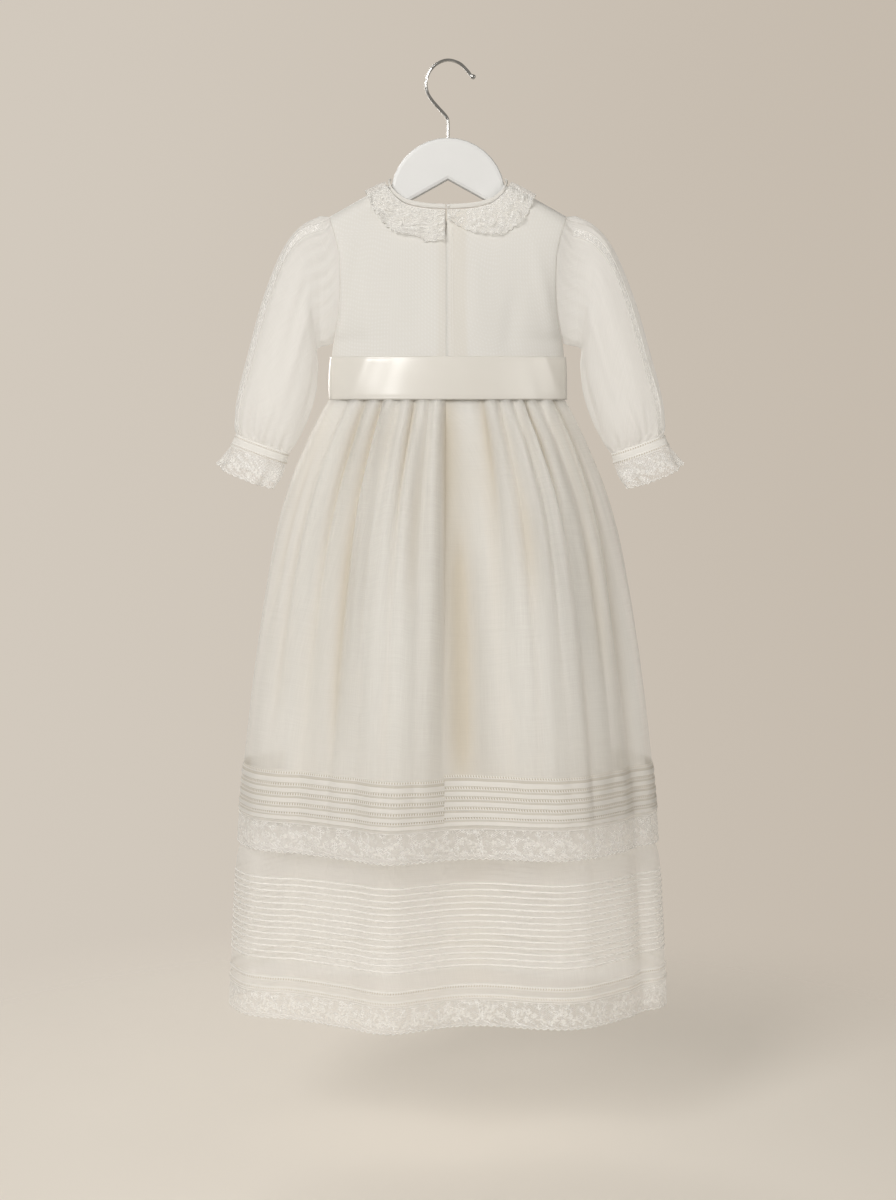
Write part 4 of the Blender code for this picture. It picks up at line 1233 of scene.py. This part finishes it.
def tier_grid(table, rows, angles, crease=1.0):
    """Grid of a skirt tier: rows are height and how far the cloth stands out there."""
    z, raised = np.array(rows).T[..., None]
    half_width, half_depth, gather, fold = [curve(table, column)(z) for column in range(1, 5)]
    turn = np.radians(angles)[None, :]
    angle = angles[None, :]
    normal_x = np.cos(turn) / half_width
    normal_y = -np.sin(turn) / half_depth
    size = np.hypot(normal_x, normal_y)
    relief = gather * gather_relief(angle, z) + crease * crease_relief(angle, z)
    offset = relief + fold * fold_relief(angle, z) + raised
    x = half_width * np.cos(turn) + normal_x / size * offset
    y = -half_depth * np.sin(turn) + normal_y / size * offset
    return np.stack((x, y, z + x * 0.0), axis=-1)


def tier_hollow(table, rows, angles, crease=1.0):
    """How deep in a fold each point of a tier lies, from 0 to 1, which sets its painted shade."""
    z = np.array(rows)[:, :1]
    angle = angles[None, :]
    gather, fold = curve(table, 3)(z), curve(table, 4)(z)
    ridge, _, valley = gather_shape(angle, z)
    relief = -gather * HOLLOW_GATHER * valley * (1.0 - ridge) ** 1.2
    relief = relief + crease * crease_relief(angle, z) / 5.0
    relief = relief - fold * 0.55 * np.clip(-fold_relief(angle, z) / 14.0, 0.0, 1.0) ** 2
    return np.clip(-relief, 0.0, 1.0)


def tuck_rows(stitch, edge):
    """Heights and offsets of the cloth through one tuck that is folded down."""
    middle = (stitch + edge) / 2.0
    return [
        (stitch + 0.3, 0.15),
        (stitch, 0.65),
        (middle, 0.95),
        (edge + 0.5, 0.95),
        (edge, 0.75),
        (edge + 0.5, 0.5),
        (middle, 0.4),
        (stitch - 0.2, 0.3),
        (stitch - 0.5, 0.1),
    ]


def between_tucks(rows):
    """1 for rows of the overskirt between its first stitching and its last fold, else 0."""
    z = np.array(rows)[:, 0]
    return np.where((z < TUCKS[0][0] + 4.0) & (z > TUCKS[-1][1] - 1.0), 1.0, 0.0)


def stepped(points, side):
    """Tucks a little higher on the right of the centre back seam than on its left."""
    distance = points[..., 0] - PLACKET_X if side == "right" else PLACKET_X - points[..., 0]
    z = points[..., 2]
    near = np.exp(-np.maximum(distance, 0.0) / STEP_REACH)
    zone = window(z, STEP_TOP_Z, OVERSKIRT[-1][0], STEP_SOFT)
    points[..., 2] = z + (SEAM_STEP / 2 if side == "right" else -SEAM_STEP / 2) * near * zone
    return points


def build_overskirt():
    top, low = OVERSKIRT[0][0], OVERSKIRT[-1][0]
    rows = plain_rows((top, -372.0, 14), (-377.0, -690.0, 54))
    for stitch, edge in TUCKS:
        rows += tuck_rows(stitch, edge)
    rows.append((low, 0.0))
    pieces, folds, holes = [], [], []
    panels = (
        ("overskirt_back_right", 0, BACK_SEAM, "right"),
        ("overskirt_back_left", BACK_SEAM, SIDE_SEAM, "left"),
        ("overskirt_front", SIDE_SEAM, GATHERS, ""),
    )
    for name, start, end, side in panels:
        angles = ring_angles(GATHER_COLUMNS, start, end)

        def grid(heights):
            points = tier_grid(OVERSKIRT, heights, angles)
            return stepped(points, side) if side else points

        # Painted shade in the folds, and a painted shadow under the tucks, between the first stitching and
        # the last fold.
        hollow = np.maximum(tier_hollow(OVERSKIRT, rows, angles), TUCK_SHADE * between_tucks(rows)[:, None])
        pieces.append(cloth(name, grid(rows), ORGANZA, hollow=hollow))
        for stitch, edge in TUCKS:
            fold = [((stitch + edge) / 2 + 1.0, 1.15), (edge + 1.2, 1.2), (edge - 0.3, 1.15)]
            folds.append(cloth("tuck", grid(fold), TUCK_CLOTH))
            strip = [(stitch + 3.0, 0.25), (stitch + 1.5, 0.35), (stitch, 0.9)]
            holes.append(cloth("hemstitch", grid(strip), HEMSTITCH))
    tucks = joined("overskirt_tucks", folds)
    hemstitch = joined("overskirt_hemstitch", holes)
    across = VALLEYS[BACK_SEAM] + np.array(SEAM_ANGLES)
    down = [(z, -0.7) for z in np.linspace(top - 4.0, low + 1.0, 60)]
    allowance = cloth("overskirt_seam", tier_grid(OVERSKIRT, down, across), ORGANZA)
    lace = build_edging("overskirt_lace", OVERSKIRT_LACE, (OVER_SPRIG, 26.0, 3.0))
    return pieces, [tucks, hemstitch, allowance], lace


def build_edging(name, table, sprig):
    """Lace edging with a scalloped and corded lower edge."""
    rows = plain_rows((table[0][0], table[-1][0], 12))
    points = tier_grid(table, rows, np.linspace(0.0, 360.0, EDGING_COLUMNS, endpoint=False))
    scalloped(points, np.linspace(0.0, 1.0, len(rows)) ** 6)
    return lace_piece(name, "", points, True, [points[-1], points[0]], LACE_CORD, sprig)


def build_underskirt():
    top, low = UNDERSKIRT[0][0], UNDERSKIRT[-1][0]
    rows = plain_rows((top, -740.0, 40), (-750.0, PINTUCK_FIRST + 6.0, 8))
    edges = [PINTUCK_FIRST + PINTUCK_PITCH * i for i in range(PINTUCKS)]
    for edge in edges:
        rows += [(edge + PINTUCK_DEPTH, 0.0), (edge, 0.0)]
    rows += plain_rows((PINTUCK_FIRST + PINTUCK_PITCH * PINTUCKS, low, 4))
    pieces = []
    for name, start, end in (("underskirt_back", 0, SIDE_SEAM), ("underskirt_front", SIDE_SEAM, GATHERS)):
        angles = ring_angles(GATHER_COLUMNS, start, end)
        points = tier_grid(UNDERSKIRT, rows, angles, UNDER_CREASE)
        # Painted shade in the folds.
        hollow = tier_hollow(UNDERSKIRT, rows, angles, UNDER_CREASE)
        pieces.append(cloth(name, points, ORGANZA, hollow=hollow))
    folds = []
    for edge in edges:
        fold = [(edge + 1.5, 0.4), (edge + 1.0, 0.8), (edge + 0.4, 0.9), (edge, 0.6)]
        ring = tier_grid(UNDERSKIRT, fold, ring_angles(GATHER_COLUMNS), UNDER_CREASE)
        folds.append(cloth("pintuck", ring, PINTUCK_CLOTH, closed=True))
    pintucks = joined("underskirt_pintucks", folds)

    angles = np.linspace(0.0, 360.0, BAND_COLUMNS, endpoint=False)
    band_top, band_low = HEM_BAND[0][0], HEM_BAND[-1][0]
    band_rows = [
        (band_top + (band_low - band_top) * share, 0.2 + 0.8 * band_ridge(share, 0.10))
        for share in np.linspace(0.0, 1.0, 30)
    ]
    band = cloth("hem_band", tier_grid(HEM_BAND, band_rows, angles), BAND, closed=True)
    return pieces, [pintucks], band, build_edging("hem_lace", HEM_LACE, (HEM_SPRIG, 28.0, 2.0))


def build_lining():
    top, low = LINING[0][0], LINING[-1][0]
    angles = ring_angles(LINING_COLUMNS)
    points = tier_grid(LINING, plain_rows((top, low, 60)), angles, LINING_CREASE)
    ring = cloth("lining_skirt", points, LINING_CLOTH, closed=True)
    line = tier_grid(LINING, [(low + LINING_HEM, 0.3)], angles, LINING_CREASE)
    return ring, cords("lining_hem_stitching", line, HEM_STITCHES, EMBROIDERY, closed=True)


# Sleeves


def armhole(columns):
    """Armhole edge of the bodice, from the shoulder down the back and up the front."""
    levels = [row[0] for row in BODICE_SIDE if row[0] >= UNDERARM_Z]
    turn = np.arange(columns) / columns * 2.0
    index = np.where(turn <= 1.0, turn, 2.0 - turn) * (len(levels) - 1)
    level = np.interp(index, np.arange(len(levels)), levels)
    back = bodice_points(SIDE_WIDTH(level), level, "back")
    front = bodice_points(SIDE_WIDTH(level), level, "front")
    ring = np.where((turn <= 1.0)[:, None], back, front)
    ring[:, 0] += 0.4
    return ring


def sleeve_rings(table, places, columns, side, extra=0.0):
    """Rings of a sleeve piece at places along its table, from 0 to its last row, moved outwards by extra."""
    indexed = [(i,) + row for i, row in enumerate(table)]
    values = [curve(indexed, column)(np.asarray(places, float)) for column in range(1, 6)]
    lean = SLEEVE_LEAN[side]
    outer = np.stack((values[0] + lean * (SHOULDER_Z - values[1]), values[1]), axis=1)
    inner = np.stack((values[2] + lean * (SHOULDER_Z - values[3]), values[3]), axis=1)
    depth = values[4][:, None]
    turn = np.arange(columns)[None, :] / columns * 2.0 * math.pi
    centre, half = (outer + inner) / 2.0, (outer - inner) / 2.0
    reach = np.linalg.norm(half, axis=1)[:, None]
    swell = 1.0 + extra / reach
    x = centre[:, :1] + half[:, :1] * np.cos(turn) * swell
    z = centre[:, 1:] + half[:, 1:] * np.cos(turn) * swell
    y = -(depth + extra) * np.sin(turn)
    return np.stack((x, y + x * 0.0, z), axis=-1)


def placed(points, side):
    """Rings as they are on the right, or mirrored to the left with their order reversed."""
    if side == "right":
        return points
    mirrored = points * np.array((-1.0, 1.0, 1.0))
    return np.roll(mirrored[:, ::-1], 1, axis=1)


SLEEVE_COLUMNS = 150
FRILL_COLUMNS = 460
CAP_SHARES = np.linspace(0.0, 0.86, 8)
INSERTION_START = {"left": 0.070, "right": 0.098}
INSERTION_WIDTH = 0.034
INSERTION_POINTS = 150
INSERTION_LEAF = (
    (-3.2, 3.4, 4.0, 1.6, -28.0),
    (-3.2, 4.2, 4.0, 1.6, 28.0),
    (1.2, 3.8, 2.6, 1.2, 0.0),
)


def sleeve_relief(t, turn):
    """Gathers of the cap and of the cuff, and creases; t is the place down the sleeve, turn in degrees."""
    radians = np.radians(turn)
    last = len(SLEEVE) - 1
    swing = 0.5 * np.sin(radians * 3.0 + 1.0)
    cap = np.clip(t + 1.0, 0.0, 1.0) ** 0.5 * np.exp(-np.maximum(t, 0.0) / 1.1)
    cap_top = 0.12 + 0.88 * ((1.0 + np.cos(radians)) / 2.0) ** 1.5
    relief = 1.6 * np.cos(radians * 23.0 + swing * 3.0) * cap * cap_top
    cuff = np.exp(-(last - t) / 1.7) * np.clip((9.0 - t) * 2.0 + 0.4, 0.0, 1.0)
    relief = relief + 1.5 * np.cos(radians * 16.0 + swing * 4.0) * cuff
    for centre, half_width, depth, top, low, drift in SLEEVE_CREASES:
        away = angle_from(turn, centre + drift * (t - top) / (low - top))
        relief = relief + depth * np.exp(-((away / half_width) ** 2)) * window(t, top, low, 1.2)
    return relief


def build_sleeve(side):
    places = np.linspace(0.0, len(SLEEVE) - 1, 76)
    rings = sleeve_rings(SLEEVE, places, SLEEVE_COLUMNS, side)
    edge = armhole(SLEEVE_COLUMNS)
    cap = []
    for share in CAP_SHARES:
        ring = edge + (rings[0] - edge) * share
        ring[:, 2] = edge[:, 2] + (rings[0, :, 2] - edge[:, 2]) * math.sin(share * math.pi / 2)
        cap.append(ring)
    points = np.concatenate((np.array(cap), rings), axis=0)
    t = np.concatenate((np.linspace(-1.0, -0.14, len(CAP_SHARES)), places))[:, None]
    turn = (np.arange(SLEEVE_COLUMNS) / SLEEVE_COLUMNS * 360.0)[None, :]
    points = placed(displaced(points, True, sleeve_relief(t, turn)), side)
    sleeve = cloth("sleeve_" + side, points, SLEEVE_ORGANZA, closed=True)

    down = np.linspace(0.07, 0.985, INSERTION_POINTS)
    sign = 1.0 if side == "right" else -1.0
    start, end = INSERTION_START[side], INSERTION_START[side] + INSERTION_WIDTH

    def line(share, lift):
        """Line down the sleeve at a share of the way round it."""
        full = np.ones(INSERTION_POINTS)
        return laid(points, True, full * sign * share % 1.0, down, full * lift)

    edges = [line(share, 0.35) for share in (start, end)]
    strip = np.stack([line(share, 0.25) for share in np.linspace(start, end, 5)], axis=1)
    if side == "left":
        strip = strip[:, ::-1]
    turned = strip.transpose(1, 0, 2)
    if side == "right":
        turned = turned[::-1]
    stem = "sleeve_insertion_"
    return [
        sleeve,
        cloth(stem + side, strip, NET),
        cords(stem + "cords_" + side, edges, INSERTION_CORD, EMBROIDERY),
        embroidery(stem + "leaves_" + side, turned, False, INSERTION_LEAF, 9.0, 0.0, SATIN_STITCH),
    ]


def build_cuff(side):
    """Beading band of a cuff, and its lace frill."""
    shares = np.linspace(0.0, 1.0, 22)
    ridges = np.array([0.1 + 0.7 * band_ridge(share, 0.07) for share in shares])[:, None]
    rings = sleeve_rings(CUFF, shares, SLEEVE_COLUMNS, side, ridges)
    band = cloth("cuff_" + side, placed(rings, side), CUFF_BAND, closed=True)

    places = np.linspace(0.0, 2.0, 20)
    turn = (np.arange(FRILL_COLUMNS) / FRILL_COLUMNS * 2.0 * math.pi)[None, :]
    grow = (places / 2.0)[:, None]
    ripple = 2.2 * grow * np.cos(7.0 * turn + 0.9 * np.sin(3.0 * turn)) + 0.3 * grow * np.cos(17.0 * turn)
    frill = sleeve_rings(CUFF_LACE, places, FRILL_COLUMNS, side, ripple)
    frill[..., 2] -= 4.0 * grow * np.sin(turn)
    scalloped(frill, grow[:, 0] ** 6)
    frill = placed(frill, side)
    sprig = (COLLAR_SPRIG, 19.0, 1.5)
    return band, *lace_piece("cuff_lace", "_" + side, frill, True, [frill[-1]], LACE_CORD, sprig)


# Hook

WIRE_RADIUS = 1.5
WIRE_SIDES = 20
WIRE_STEPS = 8
# Ball at the wire's free end: how much thicker it is, its length, and its last radius.
BALL_SWELL = 0.85
BALL_LENGTH = 4.4
BALL_TIP = 0.9


def build_hook():
    """Round wire along a smooth curve through the route's points, with a small ball at its free end."""
    anchors = [Vector((x, 0.0, z)) for x, z in HOOK_ROUTE]
    padded = [anchors[0] * 2.0 - anchors[1]] + anchors + [anchors[-1] * 2.0 - anchors[-2]]
    route = []
    for a, b, c, d in zip(padded, padded[1:], padded[2:], padded[3:]):
        for step in range(WIRE_STEPS):
            t = step / WIRE_STEPS
            linear = (c - a) * t
            square = (a * 2.0 - b * 5.0 + c * 4.0 - d) * t ** 2
            cube = (b * 3.0 - a - c * 3.0 + d) * t ** 3
            route.append(tuple(b + (linear + square + cube) * 0.5))
    route.append(tuple(anchors[-1]))
    route = np.array(route)
    ball = np.clip(1.0 - np.linalg.norm(route - route[-1], axis=1) / BALL_LENGTH, 0.0, 1.0)
    swell = BALL_SWELL * np.sqrt(np.clip(1.0 - (2.0 * ball - 1.0) ** 2, 0.0, 1.0))
    radius = WIRE_RADIUS + np.where(ball > 0.0, swell, 0.0)
    radius[-1] = BALL_TIP
    verts, faces = tube(route, radius, WIRE_SIDES)
    return new_object("hook_wire", verts, faces, polished_wire("chrome wire"))


# Stage, light and camera

FLOOR_Z = -1.075
FLOOR_PALE = (0.80, 0.745, 0.67, 1.0)
STAGE_HALF = 1.1
# Wall seen behind the gown: painted light, lighter on the left where the key falls, darker to the right,
# across a span of directions.
WALL_LIT_LEFT = (0.645, 0.585, 0.51, 1.0)
WALL_SHADED_RIGHT = (0.555, 0.490, 0.415, 1.0)
WALL_FALLOFF_SPAN = (-0.26, 0.30)
WALL_LIGHT = (0.60, 0.57, 0.52, 1.0)
WALL_POWER = 0.42
GOWN_MIDDLE = (0.0, 0.0, -0.5)
# Lights: name, place, size, power, colour.
LIGHTS = (
    ("key", (-1.42, -2.50, 0.85), 1.3, 65.0, (1.0, 0.995, 0.985)),
    ("fill", (1.9, -2.0, 0.0), 1.8, 18.0, (1.0, 0.98, 0.95)),
    ("front_fill", (-0.9, 2.6, 0.4), 1.8, 52.0, (1.0, 0.98, 0.95)),
)
CAMERA_DISTANCE = 2.07
CAMERA_Z = -0.336
LENS = 62.5
CAMERA_TILT = math.radians(2.77)
CAMERA_SHIFT = -0.080


def build_stage():
    half = STAGE_HALF / MM
    corners = [(-half, -half, 0.0), (half, -half, 0.0), (half, half, 0.0), (-half, half, 0.0)]
    floor = new_object("floor", corners, [(0, 1, 2, 3)], plain_stage("floor", FLOOR_PALE, 0.35, 0.95))
    floor.location = (0.0, 0.0, FLOOR_Z)


def area_light(name, place, size, power, colour):
    data = bpy.data.lights.new(name, "AREA")
    data.shape = "DISK"
    data.size = size
    data.energy = power
    data.color = colour
    item = bpy.data.objects.new(name, data)
    item.location = place
    item.rotation_euler = (Vector(GOWN_MIDDLE) - Vector(place)).to_track_quat("-Z", "Y").to_euler()
    bpy.context.scene.collection.objects.link(item)


def build_light():
    """Soft studio: a wall seen behind with painted light, lighter on the left than on the right, a little
    light from all round, and three lights.
    """
    world = bpy.data.worlds.new("studio")
    bpy.context.scene.world = world
    nodes = Nodes(world)
    place = nodes.add("ShaderNodeTexCoord").outputs["Generated"]
    sideways = nodes.add("ShaderNodeSeparateXYZ", {0: place}).outputs[0]
    # Painted light on the wall: lighter on the left, darker on the right.
    painted_falloff = nodes.fading(sideways, *WALL_FALLOFF_SPAN)
    mottle = nodes.add("ShaderNodeTexNoise", {"Vector": place, "Scale": 5.0}).outputs[0]
    total = nodes.math("ADD", painted_falloff, nodes.scaled(mottle, 0.16, -0.08), clamp=True)
    wall = nodes.blend(total, WALL_LIT_LEFT, WALL_SHADED_RIGHT)
    seen = nodes.add("ShaderNodeBackground", {0: wall}).outputs[0]
    lit = nodes.add("ShaderNodeBackground", {0: WALL_LIGHT, 1: WALL_POWER}).outputs[0]
    camera_ray = nodes.add("ShaderNodeLightPath").outputs["Is Camera Ray"]
    nodes.add("ShaderNodeOutputWorld", {"Surface": nodes.mix(camera_ray, lit, seen)})
    for light in LIGHTS:
        area_light(*light)


def build_camera():
    data = bpy.data.cameras.new("camera")
    data.sensor_width = 36.0
    data.lens = LENS
    data.shift_y = CAMERA_SHIFT
    camera = bpy.data.objects.new("camera", data)
    camera.location = (0.0, -CAMERA_DISTANCE, CAMERA_Z)
    camera.rotation_euler = (math.pi / 2 - CAMERA_TILT, 0.0, 0.0)
    bpy.context.scene.collection.objects.link(camera)
    bpy.context.scene.camera = camera


SIDES = ("left", "right")


def main():
    bpy.context.scene.cycles.transparent_max_bounces = 48
    bpy.context.scene.view_settings.view_transform = "Standard"
    build_camera()
    build_stage()
    build_light()

    def keep(item, slot, *nodes):
        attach(item, "root")
        if nodes:
            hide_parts(*nodes)

    def keep_pieces(items, slot):
        """Sheets that stand for the solid of their name."""
        for item in items:
            keep(item, slot, item.name.removesuffix(SHEET))

    def keep_trims(items, slot):
        for item in items:
            keep(item, slot)

    *panels, stitching = build_bodice()
    keep_pieces(panels, "lined_organza")
    keep(stitching, "lace")
    keep_pieces(build_sash(), "satin")
    band, button = build_neckband()
    keep_pieces([band], "lined_organza")
    keep(button, "lined_organza")
    for side in SIDES:
        lace, *trims = build_collar(side)
        keep_pieces([lace], "lace")
        keep_trims(trims, "lace")
        sleeve, *insertion = build_sleeve(side)
        band, net, *trims = build_cuff(side)
        keep_pieces([sleeve], "organza")
        keep_pieces([band, net], "lace")
        keep_trims(insertion + trims, "lace")
    over, over_trims, over_lace = build_overskirt()
    under, under_trims, band, hem_lace = build_underskirt()
    keep_pieces(over + under, "organza")
    keep_trims(over_trims + under_trims, "organza")
    keep_pieces([band], "lace")
    for net, *trims in (over_lace, hem_lace):
        keep_pieces([net], "lace")
        keep_trims(trims, "lace")
    ring, stitching = build_lining()
    keep_pieces([ring], "lining")
    keep(stitching, "lining")
    keep(build_hook(), "chrome", "hook")

    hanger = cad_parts["hanger"]
    hanger.data.materials.clear()
    hanger.data.materials.append(painted_wood("white paint"))


main()
